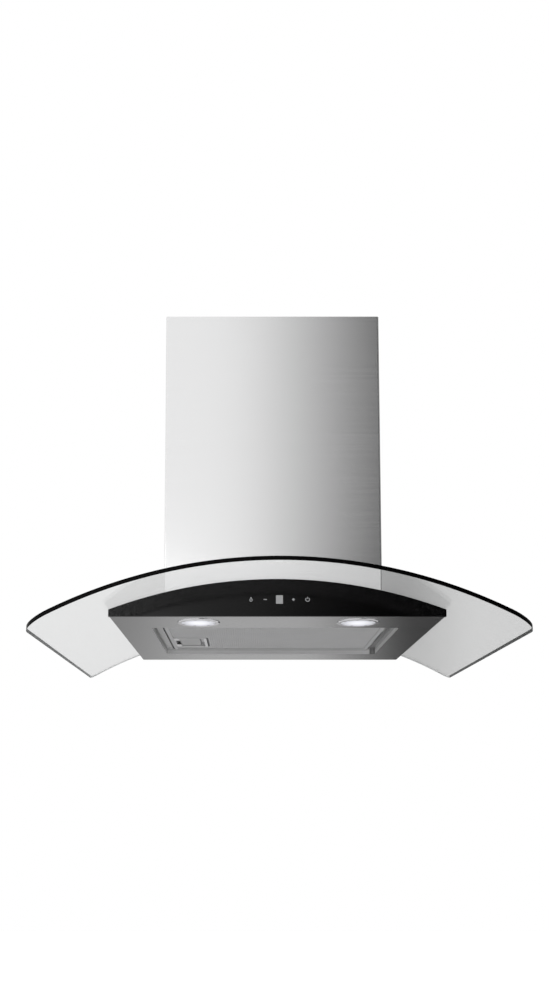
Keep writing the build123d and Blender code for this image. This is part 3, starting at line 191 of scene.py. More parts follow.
# %% Trees
class Tree:
    """A node tree that is built a line at a time."""

    def __init__(self, nodes):
        self.nodes = nodes
        nodes.nodes.clear()

    def node(self, kind, settings=(), sockets=(), out=0):
        made = self.nodes.nodes.new(kind)
        for name, value in dict(settings).items():
            setattr(made, name, value)
        for name, value in dict(sockets).items():
            if isinstance(value, Value):
                self.nodes.links.new(value.socket, made.inputs[name])
            else:
                made.inputs[name].default_value = value
        return Value(self, made.outputs[out]) if len(made.outputs) else made

    def math(self, operation, a, b):
        return self.node("ShaderNodeMath", {"operation": operation}, {0: a, 1: b})

    def mix(self, factor, a, b):
        """Colour a where the factor is 0, b where it is 1."""
        return self.node("ShaderNodeMix", {"data_type": "RGBA"}, {0: factor, 6: a, 7: b}, out=2)

    def shade(self, colour, amount):
        """A colour made darker or lighter by a value."""
        return self.node("ShaderNodeVectorMath", {"operation": "SCALE"}, {0: colour[:3], "Scale": amount})


trial = bpy.data.node_groups.new("trial", "ShaderNodeTree")
mask = Tree(trial).node("ShaderNodeTexNoise")
last_step = (1.0 - 0.5 * mask).socket.node.operation
print("1 - 0.5 * mask takes", len(trial.nodes), "nodes and ends in", last_step)
bpy.data.node_groups.remove(trial)

# %% [markdown]
# ## The studio
# Brushed steel shows the studio that it stands in. This chimney is light on the left and falls to
# dark grey on the right, so the studio has one very large soft light on the left behind the camera,
# and nothing on the right. Lamps and white cards could stand there, but each would also show in the
# glass and throw shadows. Instead the world looks different to each kind of ray. First come the
# numbers that say where a ray goes.

# %% Directions as numbers
world = bpy.data.worlds.new("studio")
world.use_nodes = True
bpy.context.scene.world = world
sky = Tree(world.node_tree)
way = sky.node("ShaderNodeTexCoord", out="Generated")
split = {axis: sky.node("ShaderNodeSeparateXYZ", (), {"Vector": way}, out=axis) for axis in "XYZ"}
flat = (split["X"] * split["X"] + split["Y"] * split["Y"] + 0.0001) ** 0.5
side = split["X"] / flat  # -1 on the far left, 1 on the far right
slope = split["Z"] / flat  # 0 for a level ray, 1 for one that climbs at 45 degrees
behind = split["Y"].rise(-0.08, 0.08)  # 1 towards the wall
above = split["Z"].rise(-0.05, 0.02)  # 1 over the horizon
print("nodes for the directions:", len(sky.nodes.nodes))

# %% [markdown]
# What a mirror sees in front of the hood is the large light. It ends just right of the middle and
# is a little weaker at its left end. At the height that the black fascia mirrors, it has a bright
# patch on the left and is nearly off on the right.

# %% The front of the studio
PANEL = 1.17  # brightness of the large light
UNLIT = 0.02  # brightness of the dark side
LIGHT_EDGE = (-0.010, 0.165)  # over this stretch of side the light gives way to the dark
RETURN = (0.55, 0.95)  # and over this one some light comes back
LEFT_END = (-0.10, -0.03)  # left of this it is a little weaker
KNEE = (0.10, 0.15)  # the slope where the dim strip and the bright patch begin
STRIP_TOP = (0.200, 0.225)
STRIP_LEFT = (-0.01, 0.12)
PATCH_TOP = (0.185, 0.205)
PATCH_RIGHT = (-0.14, -0.03)

gone = side.climb(*LIGHT_EDGE) * (1.0 - 0.7 * side.rise(*RETURN))
front_look = between(PANEL, UNLIT, gone) * (0.94 + 0.06 * side.rise(*LEFT_END))
dim_strip = slope.rise(*KNEE) * slope.fall(*STRIP_TOP) * side.rise(*STRIP_LEFT)
bright_patch = slope.rise(*KNEE) * slope.fall(*PATCH_TOP) * side.fall(*PATCH_RIGHT)
front_look = front_look * (1.0 - 0.9 * dim_strip) * (1.0 + 2.6 * bright_patch)
print("nodes with the front:", len(sky.nodes.nodes))

# %% [markdown]
# Towards the wall a mirror sees white above the horizon, greyer on the far right. Below it lies a
# table, which the hood's flat underside mirrors: mid grey, darker on the left and nearly black on
# the right. Steel that is seen through the glass is lit more evenly, because the glass scatters the
# large light over it.

# %% The rear, and what lies behind glass
TABLE = 0.535  # its brightness in the middle
TABLE_LEFT = (-0.16, -0.03)
TABLE_RIGHT = (0.05, 0.185)
FAR_RIGHT = (0.3, 0.6)

low_look = TABLE * (0.55 + 0.45 * side.rise(*TABLE_LEFT)) * (1.0 - 0.90 * side.rise(*TABLE_RIGHT))
back_look = between(low_look, 1.0 - 0.6 * side.rise(*FAR_RIGHT), above)
mirror_look = between(front_look, back_look, behind)
veiled_look = 1.38 - 0.55 * side.rise(0.0, 0.15)
past_glass = sky.node("ShaderNodeLightPath", out="Transmission Depth") > 0.5
mirror_look = between(mirror_look, veiled_look, past_glass * (1.0 - behind))
print("nodes with the rear:", len(sky.nodes.nodes))

# %% [markdown]
# Three looks are left. Through the clear pane the backdrop is slightly grey, most of all right of
# the middle. Surfaces that don't mirror get an even level, at which a colour comes out about as it
# is written. The camera itself sees plain white. The kind of ray picks between them all.

# %% One look for each kind of ray
WHITE = (1.0, 1.0, 1.0, 1.0)


def ray(kind):
    """1 for rays of this kind, 0 for all others."""
    return sky.node("ShaderNodeLightPath", out=f"Is {kind} Ray")


shaded = 0.06 + 0.44 * side.rise(0.03, 0.16) - 0.22 * side.rise(0.16, 0.25)
paper_look = 0.90 - shaded * slope.rise(0.02, 0.08)
through_look = between(front_look, paper_look, behind)
even_look = 0.62 + 0.28 * split["Z"].rise(-0.6, 0.7) - 0.18 * side.rise(0.1, 0.9)
look = between(even_look, mirror_look, ray("Glossy"))
look = between(look, through_look, ray("Transmission"))
look = between(look, 1.0, ray("Camera"))
backdrop = sky.node("ShaderNodeBackground", (), {"Color": sky.shade(WHITE, look), "Strength": 1.0})
sky.node("ShaderNodeOutputWorld", (), {"Surface": backdrop})
print("nodes of the whole world:", len(sky.nodes.nodes))

# %% [markdown]
# A soft lamp from the upper left gives the even light a direction. It is hidden from the camera,
# from mirrors and from the glass, so that it adds no highlight of its own.

# %% Lamp
LAMP_TARGET = Vector((0.0, -0.2, 0.0))
lamp_data = bpy.data.lights.new("softbox", "AREA")
lamp_data.shape = "RECTANGLE"
lamp_data.size = 1.6
lamp_data.size_y = 1.2
lamp_data.energy = 16.0
softbox = put_in("softbox", lamp_data)
softbox.location = (-1.6, -1.9, 1.5)
softbox.rotation_euler = (LAMP_TARGET - softbox.location).to_track_quat("-Z", "Y").to_euler()
softbox.visible_camera = False
softbox.visible_glossy = False
softbox.visible_transmission = False
print("softbox:", lamp_data.energy, "W at", in_mm([softbox.location]), "mm")

# %% [markdown]
# The floor is a pale sheet of paper well below the hood. A white world would do without it, but
# then the hood would have no shadow. The sheet glows a little for the camera, so that it melts into
# the background everywhere but in that shadow, and it glows less behind glass.

# %% Floor
FLOOR_Z = -0.78
floor_mesh = bpy.data.meshes.new("floor")
corners = [(-1.6, -2.2, FLOOR_Z), (1.6, -2.2, FLOOR_Z), (1.6, 1.0, FLOOR_Z), (-1.6, 1.0, FLOOR_Z)]
floor_mesh.from_pydata(corners, [], [(0, 1, 2, 3)])
floor = put_in("floor", floor_mesh)

paper = bpy.data.materials.new("paper")
paper.use_nodes = True
sheet = Tree(paper.node_tree)
place = sheet.node("ShaderNodeTexCoord", out="Object")
fibre = sheet.node("ShaderNodeTexNoise", (), {"Vector": place, "Scale": 40.0, "Detail": 4.0})
paper_tone = sheet.shade((0.80, 0.80, 0.80), 0.97 + 0.06 * fibre)
matt = sheet.node("ShaderNodeBsdfDiffuse", (), {"Color": paper_tone})
seen = sheet.node("ShaderNodeLightPath", out="Is Camera Ray")
seen_through = sheet.node("ShaderNodeLightPath", out="Is Transmission Ray")
lift = 0.55 * seen + 0.24 * seen_through
glow = sheet.node("ShaderNodeEmission", (), {"Color": WHITE, "Strength": lift})
both = sheet.node("ShaderNodeAddShader", (), {0: matt, 1: glow})
sheet.node("ShaderNodeOutputMaterial", (), {"Surface": both})
floor_mesh.materials.append(paper)
print("floor:", in_mm([floor.dimensions]), "mm, at z =", FLOOR_Z / MM, "mm")

# %% [markdown]
# ## Finishes
# A Finish is a material with its own small vocabulary: places on the piece, noise, and the one
# Principled shader that every finish ends in. Patterns are laid out in object coordinates, and as
# every piece's object stands at the origin, one pattern runs on from piece to piece at true size.

# %% The vocabulary of a finish
class Finish(Tree):
    """A material. The methods measure in metres."""

    def __init__(self, name):
        self.material = bpy.data.materials.new(name)
        self.material.use_nodes = True
        super().__init__(self.material.node_tree)

    def place(self, centre=(0, 0, 0), scale=(1, 1, 1)):
        """Object coordinates, counted from a centre and scaled."""
        here = self.node("ShaderNodeTexCoord", out="Object")
        moved = [-c * s for c, s in zip(centre, scale)]
        return self.node("ShaderNodeMapping", (), {"Vector": here, "Location": moved, "Scale": scale})

    def along(self, axis, centre=(0, 0, 0)):
        return self.node("ShaderNodeSeparateXYZ", (), {"Vector": self.place(centre)}, out=axis)

    def noise(self, scale, detail=2.0):
        """Noise that is centred on 0, with so many waves to the metre, in all or along X, Y and Z."""
        packed = (scale,) * 3 if isinstance(scale, (int, float)) else scale
        sockets = {"Vector": self.place(scale=packed), "Scale": 1.0, "Detail": detail}
        return self.node("ShaderNodeTexNoise", (), sockets) - 0.5

    def cells(self, scale, out="Color", distance="EUCLIDEAN"):
        """A Voronoi pattern with so many cells to the metre."""
        sockets = {"Vector": self.place(), "Scale": scale}
        settings = {"feature": "F1", "distance": distance}
        return self.node("ShaderNodeTexVoronoi", settings, sockets, out=out)

    def finish(self, height=None, depth=0.0, **looks):
        """The Principled shader. Height is the relief, in parts of its depth."""
        sockets = {name.replace("_", " "): look for name, look in looks.items()}
        if height is not None:
            relief = {"Height": height, "Distance": depth, "Strength": 1.0}
            sockets["Normal"] = self.node("ShaderNodeBump", (), relief)
        shader = self.node("ShaderNodeBsdfPrincipled", (), sockets)
        self.node("ShaderNodeOutputMaterial", (), {"Surface": shader})
        return self.material


still_bare = set(hood)


def dress(material, *names):
    """Give a finish to pieces of the frame."""
    for name in names:
        for slot in hood[name].material_slots:
            slot.material = material
    still_bare.difference_update(names)
    print(material.name, "for", ", ".join(names))


print("pieces to dress:", len(still_bare))

# %% [markdown]
# ### Brushed stainless steel
# The chimney and the canopy are cut from brushed sheet. The belt that brushes it leaves fine
# scratches, all in one direction: across the front of the chimney, and across the flat underside.
# An anisotropic shader would stretch the highlights that way but draw no scratch. Here two layers
# of noise, drawn out almost two hundred times along X, give a fine and a coarse scratch. They are
# about one and three millimetres wide, so that they don't flicker from far away, and they change
# the tone by a few percent, and the gloss and the relief with it. The pressed walls of the canopy
# and the latch have lost their polish: they are duller than the flat sheet, and lighter, because
# the flat sheet is the same steel as the chimney with its tone set low as painted shade on the
# underside. The light doesn't reach round the chimney's right bend, so forward faces from about
# two millimetres inside that bend on to the right are painted dark, as painted shade.

# %% Brushed steel
ALONG = 0.12  # what the waves of a layer are multiplied by along a scratch
ACROSS = 22.0  # and across it
BEND_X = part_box("chimney_lower")[1].x


def brushed(name, tone, gloss, wall_tone, wall_gloss):
    steel = Finish(name)
    facing = steel.node("ShaderNodeTexCoord", out="Normal")
    lies_flat = abs(steel.node("ShaderNodeSeparateXYZ", (), {"Vector": facing}, out="Z")) > 0.5
    forward = steel.node("ShaderNodeSeparateXYZ", (), {"Vector": facing}, out="Y") < -0.1

    def scratches(waves, detail):
        upright = steel.noise((ALONG * waves, ALONG * waves, ACROSS * waves), detail)
        level = steel.noise((ALONG * waves, ACROSS * waves, ACROSS * waves), detail)
        return between(upright, level, lies_flat)

    fine = scratches(60, 3.0)
    broad = scratches(14, 2.0)
    cloud = steel.noise(5.0, 2.0)
    # painted shade: faces that look forward, from about 2 mm inside the chimney's right bend on to the
    # right, are darkened in the colour
    bend = steel.along("X").rise(BEND_X - 2.0 * MM, BEND_X - 0.8 * MM)
    scratch_tone_and_painted_bend_shade = (1.0 + 0.08 * fine + 0.02 * broad + 0.02 * cloud) * (1.0 - 0.7 * bend * forward)
    return steel.finish(
        fine * 0.8 + broad * 0.2,
        0.02 * MM,
        Base_Color=steel.shade((1.0, 1.0, 1.003), between(wall_tone, tone, lies_flat) * scratch_tone_and_painted_bend_shade),
        Metallic=1.0,
        Roughness=between(wall_gloss, gloss, lies_flat) + 0.10 * fine + 0.04 * cloud,
    )


dress(brushed("brushed_steel_chimney", 0.73, 0.17, 0.73, 0.17), "chimney_lower", "chimney_upper")
# the flat tone of the canopy and the latch, 0.46 against the chimney's 0.73, is painted shade on the
# underside
dress(brushed("brushed_steel_canopy", 0.46, 0.18, 0.70, 0.55), "canopy_shell")
dress(brushed("brushed_steel_latch", 0.46, 0.30, 0.60, 0.60), "latch_slider")

# %% [markdown]
# ### Galvanised sheet
# Everything that the buyer doesn't see is hot-dip galvanised. As the zinc sets it grows flat
# crystals, the spangle, each of which throws the light back at its own angle. Noise would look like
# clouds there. A Voronoi pattern has the sharp borders of crystals: it gives each its own tone, and
# a low relief tilts it.

# %% Galvanised sheet
def galvanised():
    zinc = Finish("galvanised_sheet")
    crystal = zinc.node("ShaderNodeSeparateColor", (), {"Color": zinc.cells(95.0)}, out="Red")
    feather = zinc.noise(300.0, 4.0)
    bloom = zinc.noise(9.0, 3.0)
    level = 0.56 + 0.16 * crystal + 0.07 * feather + 0.06 * bloom
    return zinc.finish(
        crystal * 0.5 + feather * 0.3,
        0.12 * MM,
        Base_Color=zinc.shade((0.97, 1.0, 1.03), level),
        Metallic=0.85,
        Roughness=0.36 + 0.14 * crystal + 0.10 * bloom,
    )


sheet_zinc = galvanised()
dress(sheet_zinc, "canopy_top_plate", "housing_shell", "housing_foot", "housing_top", "housing_cover")
dress(sheet_zinc, "motor_bracket", "top_bracket", "capacitor_clip", "outlet_collar")
dress(sheet_zinc, *[f"stop_bracket_{end}_{hand}" for end in ("front", "rear") for hand in ("left", "right")])

# %% [markdown]
# ### Turned and plated metal
# Screws, nuts and the shaft are zinc-plated, the lamp rings are turned and polished, the filter's
# frame is anodised aluminium, and the motor's end shells are pressed from plated sheet. Each could
# have a material of its own, but they differ only in tone, gloss and the scale of a slight
# unevenness, so one function makes them all.

# %% Plated metals
def plated(name, colour, gloss, grain, unevenness, metal=1.0):
    skin = Finish(name)
    grit = skin.noise(grain, 3.0)
    stain = skin.noise(25.0, 3.0)
    return skin.finish(
        grit,
        0.03 * MM,
        Base_Color=skin.shade(colour, 1.0 + unevenness * (grit + stain)),
        Metallic=metal,
        Roughness=gloss + 0.12 * stain + 0.10 * grit,
    )


plated_steel = plated("plated_steel", (0.66, 0.66, 0.65), 0.28, 900.0, 0.25)
polished_ring = plated("polished_ring", (0.80, 0.80, 0.82), 0.12, 600.0, 0.08)
anodised = plated("anodised_aluminium", (0.50, 0.50, 0.505), 0.50, 1400.0, 0.16, 0.75)
tray_skin = plated("anodised_tray", (0.72, 0.72, 0.725), 0.58, 1400.0, 0.10, 0.6)
strand = plated("expanded_strand", (0.60, 0.60, 0.605), 0.52, 1400.0, 0.14, 0.8)
cast_body = plated("cast_aluminium", (0.58, 0.58, 0.60), 0.48, 700.0, 0.30)
motor_skin = plated("motor_shell", (0.42, 0.43, 0.45), 0.38, 500.0, 0.25)
spring_steel = plated("spring_steel", (0.50, 0.51, 0.53), 0.25, 1100.0, 0.20)
dress(plated_steel, "glass_screws", "glass_nuts", "cover_screws", "motor_screws", "chimney_screws")
dress(plated_steel, "top_screws", "hub_nut", "motor_shaft", "flap_pin")
dress(polished_ring, "lamp_bezel_left", "lamp_bezel_right")
dress(anodised, "filter_frame", "filter_tongues")
dress(tray_skin, "latch_tray")
dress(strand, "filter_mesh")
dress(cast_body, "lamp_module_left", "lamp_module_right")
dress(motor_skin, "motor")
dress(spring_steel, "latch_spring")

# %% [markdown]
# ### Moulded plastic, rubber and foam
# A mould's eroded surface leaves a fine even grain on plastic, and rubber is duller and more open.
# All are a plain ground with a grain relief and a slow change of gloss, where hands and oil have
# been, so again one function makes them.

# %% Moulded parts
def moulded(name, colour, gloss, grain, depth):
    resin = Finish(name)
    texture = resin.noise(grain, 2.0)
    film = resin.noise(14.0, 3.0)
    return resin.finish(
        texture,
        depth,
        Base_Color=resin.shade(colour, 1.0 + 0.14 * film + 0.10 * texture),
        Roughness=gloss + 0.16 * film,
    )


scroll_resin = moulded("scroll_plastic", (0.030, 0.030, 0.033), 0.50, 1100.0, 0.10 * MM)
wheel_resin = moulded("wheel_plastic", (0.075, 0.078, 0.085), 0.42, 1400.0, 0.06 * MM)
flap_resin = moulded("flap_plastic", (0.045, 0.045, 0.048), 0.45, 1200.0, 0.08 * MM)
grey_resin = moulded("electronics_grey", (0.56, 0.56, 0.54), 0.48, 1000.0, 0.10 * MM)
white_resin = moulded("driver_white", (0.80, 0.80, 0.79), 0.42, 1200.0, 0.06 * MM)
nylon = moulded("natural_nylon", (0.72, 0.71, 0.66), 0.50, 900.0, 0.06 * MM)
rubber = moulded("black_rubber", (0.018, 0.018, 0.019), 0.72, 700.0, 0.15 * MM)
foam = moulded("foam_tape", (0.035, 0.035, 0.037), 0.88, 1600.0, 0.30 * MM)
dress(scroll_resin, "scroll_front", "scroll_back", "cable_gland")
dress(wheel_resin, "impeller", "impeller_front", "impeller_rear")
dress(flap_resin, "flap_left", "flap_right")
dress(grey_resin, "control_box", "capacitor", "display_module")
dress(white_resin, "led_driver")
dress(nylon, "board_spacers")
dress(rubber, "glass_seal", "housing_gasket", "motor_bushes")
dress(foam, "fascia_tape")

# %% [markdown]
# ### Circuit board
# Green lacquer over copper: where a track runs below it, the lacquer is lighter. The tracks could
# be drawn one by one, but the board shows only when the hood is taken apart. So they come from a
# Voronoi pattern with square cells, of which only a band between two distances is used.

# %% Circuit board
def board_lacquer():
    lacquer = Finish("board_lacquer")
    distance = lacquer.cells(260.0, "Distance", "CHEBYCHEV")
    copper = distance.rise(0.30, 0.36) - distance.rise(0.46, 0.52)
    return lacquer.finish(
        copper,
        0.05 * MM,
        Base_Color=lacquer.mix(copper, (0.008, 0.075, 0.035, 1.0), (0.03, 0.17, 0.07, 1.0)),
        Roughness=0.30 + 0.12 * lacquer.noise(60.0),
    )


dress(board_lacquer(), "touch_board")

# %% [markdown]
# ### Black glass, and the display behind its window
# The fascia is glass printed black on its back. Real glass over a black plate would need two
# pieces, and a black ground under a clean hard gloss looks the same. A little dust and haze breaks
# up its mirror. The window of the display is left unprinted, and a pale matt filter shows through.

# %% Fascia and display
def black_glass():
    gloss = Finish("black_glass")
    dust = gloss.noise(900.0, 2.0).rise(0.16, 0.30)
    haze = gloss.noise(8.0, 3.0)
    return gloss.finish(
        Base_Color=gloss.mix(dust * 0.25, (0.0012, 0.0012, 0.0013, 1.0), (0.012, 0.012, 0.0125, 1.0)),
        Roughness=0.13 + 0.04 * haze + 0.10 * dust,
        IOR=1.27,
    )


def window_glass():
    pane = Finish("display_filter")
    dots = pane.cells(1500.0, "Distance")
    return pane.finish(
        Base_Color=pane.shade((0.44, 0.445, 0.45), 0.94 + 0.12 * dots),
        Roughness=0.22 + 0.06 * pane.noise(30.0),
        Coat_Weight=0.5,
        Coat_Roughness=0.06,
    )


dress(black_glass(), "front_fascia")
dress(window_glass(), "display_window")

# %% [markdown]
# ### Lamp lenses
# Both lamps are lit. The lens is frosted, with fine moulded rings, and the light source behind it
# is held by a star of small clips that show as dark notches round the rim. A real lamp inside would
# light the lens too, but noisily. So the lens shines by itself, and its tone follows two numbers:
# how far a point is from the middle of the lens, and at what angle it lies.

# %% Lamp lenses
CLIPS = 7
CLIP_TURN = 1.1
CLIP_REACH = (0.0172, 0.0205)  # the radius over which the clips begin
LIGHT_REACH = (0.006, 0.0215)  # and the one over which the light falls off


def lit_lens(hand):
    low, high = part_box(f"lamp_lens_{hand}")
    centre = ((low.x + high.x) / 2, (low.y + high.y) / 2, 0)
    frost = Finish(f"lit_lens_{hand}")
    across = frost.along("X", centre)
    deep = frost.along("Y", centre)
    radius = (across * across + deep * deep) ** 0.5
    angle = frost.math("ARCTAN2", deep, across)
    rings = frost.math("SINE", radius * 4200.0, 0.0)
    star = frost.math("SINE", angle * CLIPS + CLIP_TURN, 0.0)
    clips = star.rise(0.68, 0.95) * radius.rise(*CLIP_REACH)
    light = (1.0 - 0.48 * radius.rise(*LIGHT_REACH)) * (1.0 - 0.60 * clips) * (1.0 + 0.04 * rings)
    return frost.finish(
        rings,
        0.06 * MM,
        Base_Color=frost.shade((0.25, 0.255, 0.28), 1.0 - 0.5 * clips),
        Roughness=0.34 + 0.05 * rings,
        Emission_Color=frost.shade((0.86, 0.865, 0.915), light),
        Emission_Strength=0.86,
    )


for hand in ("left", "right"):
    dress(lit_lens(hand), f"lamp_lens_{hand}")

# %% [markdown]
# ### Clear glass and its dark rim
# The canopy is 5 mm of clear tempered glass. Its faces pass the light on with a slight haze of
# dust, and with the faint waviness that tempering leaves. With glass's own index of refraction the
# white studio would wash over the pane, so the index is low. The light that enters the front rim
# has to cross the whole depth of the glass, so the rim looks black. The side rims are lighter, the
# left one most, and the rear one hardly shows, because they are seen against the light behind the
# pane. A glass shader would need very many bounces for that, so this light and shade is painted
# into the rim's own colour: black at the front, a painted lighter grey on the left, where the light
# comes from, painted near black on the right, and a pale grey at the rear.

# %% Canopy glass
# the rim's colours are painted light and shade: pale rear, lighter left side, near-black right side, black
# front
REAR_RIM_PAINTED_LIGHT = (0.80, 0.81, 0.81, 1.0)
LEFT_RIM_PAINTED_LIGHT = (0.22, 0.225, 0.225, 1.0)
RIGHT_RIM_PAINTED_SHADE = (0.030, 0.032, 0.032, 1.0)
FRONT_RIM_PAINTED_SHADE = (0.001, 0.001, 0.001, 1.0)
FRONT_CORNERS = (-0.475, -0.455)  # the stretch of Y where the front rim turns into a side rim
REAR_CORNERS = (-0.020, -0.002)  # and the one where that turns into the rear rim


def clear_glass():
    pane = Finish("clear_glass")
    wave = pane.noise(11.0, 1.0)
    smear = pane.noise(16.0, 4.0).rise(0.05, 0.4)
    return pane.finish(
        wave,
        0.04 * MM,
        Base_Color=pane.shade((0.978, 0.982, 0.982), 1.0 - 0.03 * smear),
        Roughness=0.02 * smear,
        IOR=1.10,
        Transmission_Weight=0.96,
    )


def dark_rim():
    rim = Finish("dark_rim")
    grind = rim.noise((90.0, 90.0, 2200.0), 3.0)
    depth = rim.along("Y")
    # painted light and shade, chosen by where the rim lies: front, left or right side, rear
    painted_side_rims = rim.mix(rim.along("X") > 0.0, LEFT_RIM_PAINTED_LIGHT, RIGHT_RIM_PAINTED_SHADE)
    grey = rim.mix(depth.rise(*FRONT_CORNERS), FRONT_RIM_PAINTED_SHADE, painted_side_rims)
    return rim.finish(
        grind,
        0.03 * MM,
        Base_Color=rim.mix(depth.rise(*REAR_CORNERS), grey, REAR_RIM_PAINTED_LIGHT),
        Roughness=0.14 + 0.10 * grind,
        IOR=1.13,
    )


glass_face = clear_glass()
glass_rim = dark_rim()
print("materials:", len(bpy.data.materials), "left for a piece of finer shape:", sorted(still_bare))

# %% [markdown]
# ## Pieces made by rule
# A Geometry Nodes tree describes a piece by a rule and a few named sizes. It could be set up by
# hand, but built in the script it can be read and changed like the rest. The class below builds the
# tree with its inputs, and ends it in a plain mesh with its finish.

# %% A recipe for a piece
class Recipe(Tree):
    """A Geometry Nodes tree. Sizes are its named number inputs."""

    def __init__(self, name, sizes):
        self.group = bpy.data.node_groups.new(name, "GeometryNodeTree")
        super().__init__(self.group)
        self.sizes = sizes
        self.group.interface.new_socket("Geometry", in_out="INPUT", socket_type="NodeSocketGeometry")
        for size in sizes:
            self.group.interface.new_socket(size, in_out="INPUT", socket_type="NodeSocketFloat")
        self.group.interface.new_socket("Geometry", in_out="OUTPUT", socket_type="NodeSocketGeometry")
        self.entry = self.group.nodes.new("NodeGroupInput")
        self.given = Value(self, self.entry.outputs["Geometry"])

    def size(self, name):
        return Value(self, self.entry.outputs[name])

    def vector(self, x=0.0, y=0.0, z=0.0):
        return self.node("ShaderNodeCombineXYZ", (), {"X": x, "Y": y, "Z": z})

    def position(self, axis):
        here = self.node("GeometryNodeInputPosition")
        return self.node("ShaderNodeSeparateXYZ", (), {"Vector": here}, out=axis)

    def join(self, *parts):
        made = self.group.nodes.new("GeometryNodeJoinGeometry")
        for part in parts:
            self.group.links.new(part.socket, made.inputs[0])
        return Value(self, made.outputs[0])

    def end(self, geometry, material, where=True):
        real = self.node("GeometryNodeRealizeInstances", (), {"Geometry": geometry})
        coat = {"Geometry": real, "Material": material, "Selection": where}
        coated = self.node("GeometryNodeSetMaterial", (), coat)
        last = self.group.nodes.new("NodeGroupOutput")
        self.group.links.new(coated.socket, last.inputs["Geometry"])
        print("recipe", self.group.name, "has", len(self.group.nodes), "nodes and the sizes", self.sizes)


# %% [markdown]
# A recipe is cooked as a modifier: its sizes are set, the finished mesh is taken off it, and the
# modifier is thrown away with the object that carried it. What is left is a plain mesh. It is put
# in at the origin, rides on a body of the hood and may stand for pieces of the frame.

# %% Cook a recipe and hand the piece over
def as_mesh(passing):
    """The plain mesh that an object gives with its modifiers. The object is thrown away."""
    graph = bpy.context.evaluated_depsgraph_get()
    mesh = bpy.data.meshes.new_from_object(passing.evaluated_get(graph))
    passing.modifiers.clear()
    bpy.data.objects.remove(passing)
    return mesh


def cook(recipe, mesh, coat, sizes):
    """The plain mesh that a recipe makes from a mesh, its first finish and its sizes."""
    mesh.materials.clear()
    mesh.materials.append(coat)
    pot = put_in("pot", mesh)
    modifier = pot.modifiers.new("recipe", "NODES")
    modifier.node_group = recipe.group
    for item in recipe.group.interface.items_tree:
        if item.in_out == "INPUT" and item.name in recipe.sizes:
            modifier[item.identifier] = float(sizes[item.name])
    return as_mesh(pot)


def piece(name, mesh, body, replaced=()):
    """A finished piece: it rides on a body and may stand for pieces of the frame."""
    made = put_in(name, mesh)
    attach(made, body)
    if replaced:
        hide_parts(*replaced)
    mesh.calc_loop_triangles()
    print(name, "on", body, "has", len(mesh.loop_triangles), "triangles")


print("bodies to ride on:", ", ".join(frame["bodies"]))

# %% [markdown]
# ### The bent glass
# The pane is cut flat, with its rounded corners, the opening for the blower and six screw holes,
# and then bent over a mould round a single axis. A curved plate could be drilled with Booleans, but
# they leave slivers along the bend. So this pane is made as the real one is: first its outlines.

# %% Outlines
HOLE_RADIUS = 0.004


def rounded(low, high, radii, steps=10):
    """A rectangle with its own radius at each corner: front left, front right, rear right, rear left."""
    corners = [(low[0], low[1]), (high[0], low[1]), (high[0], high[1]), (low[0], high[1])]
    points = []
    for k, ((x, y), r) in enumerate(zip(corners, radii)):
        middle = (x + (r if k in (0, 3) else -r), y + (r if k in (0, 1) else -r))
        for step in range(steps + 1):
            turn = math.radians(180 + 90 * k + 90 * step / steps)
            points.append((middle[0] + r * math.cos(turn), middle[1] + r * math.sin(turn)))
    return points


def ring(x, y, radius, steps=24):
    """The points of a circle."""
    turns = [2 * math.pi * k / steps for k in range(steps)]
    return [(x + radius * math.cos(t), y + radius * math.sin(t)) for t in turns]


def flat_sheet(outlines):
    """A flat mesh with the first outline as its edge and the others as holes."""
    curve = bpy.data.curves.new("outline", "CURVE")
    curve.dimensions = "2D"
    curve.fill_mode = "BOTH"
    for outline in outlines:
        line = curve.splines.new("POLY")
        line.points.add(len(outline) - 1)
        for point, (x, y) in zip(line.points, outline):
            point.co = (x, y, 0.0, 1.0)
        line.use_cyclic_u = True
    return as_mesh(put_in("outline", curve))


print("points in a ring:", len(ring(0, 0, HOLE_RADIUS)))

# %% [markdown]
# The sizes of the pane are those of the frame's piece, which it replaces. Only what a box can't say
# is written here.

# %% The flat pane
glass_low, glass_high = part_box("glass_canopy")
FRONT_RADIUS = 0.030
REAR_RADIUS = 0.011
INLET_RADIUS = 0.0005
INLET_LOW = (-0.120, -0.170)
INLET_HIGH = (0.120, -0.020)
HOLES = [(hand * 0.140, y) for hand in (-1, 1) for y in (-0.040, -0.145)]
HOLES += [(-0.090, -0.190), (0.090, -0.190)]

pane_edge = rounded(glass_low, glass_high, (FRONT_RADIUS, FRONT_RADIUS, REAR_RADIUS, REAR_RADIUS))
inlet_edge = rounded(INLET_LOW, INLET_HIGH, (INLET_RADIUS,) * 4, 2)
pane_flat = flat_sheet([pane_edge, inlet_edge] + [ring(x, y, HOLE_RADIUS) for x, y in HOLES])
print("flat pane:", len(pane_flat.vertices), "points, with", len(HOLES), "holes and an inlet")

# %% [markdown]
# A flat mesh bends only where it has edges. A grid would give it edges both ways. Knife cuts, 8 mm
# apart, give it just the narrow strips that the bend needs.

# %% Cut it into strips
STRIP = 0.008
SAME_POINT = 1e-6  # points nearer than this are one

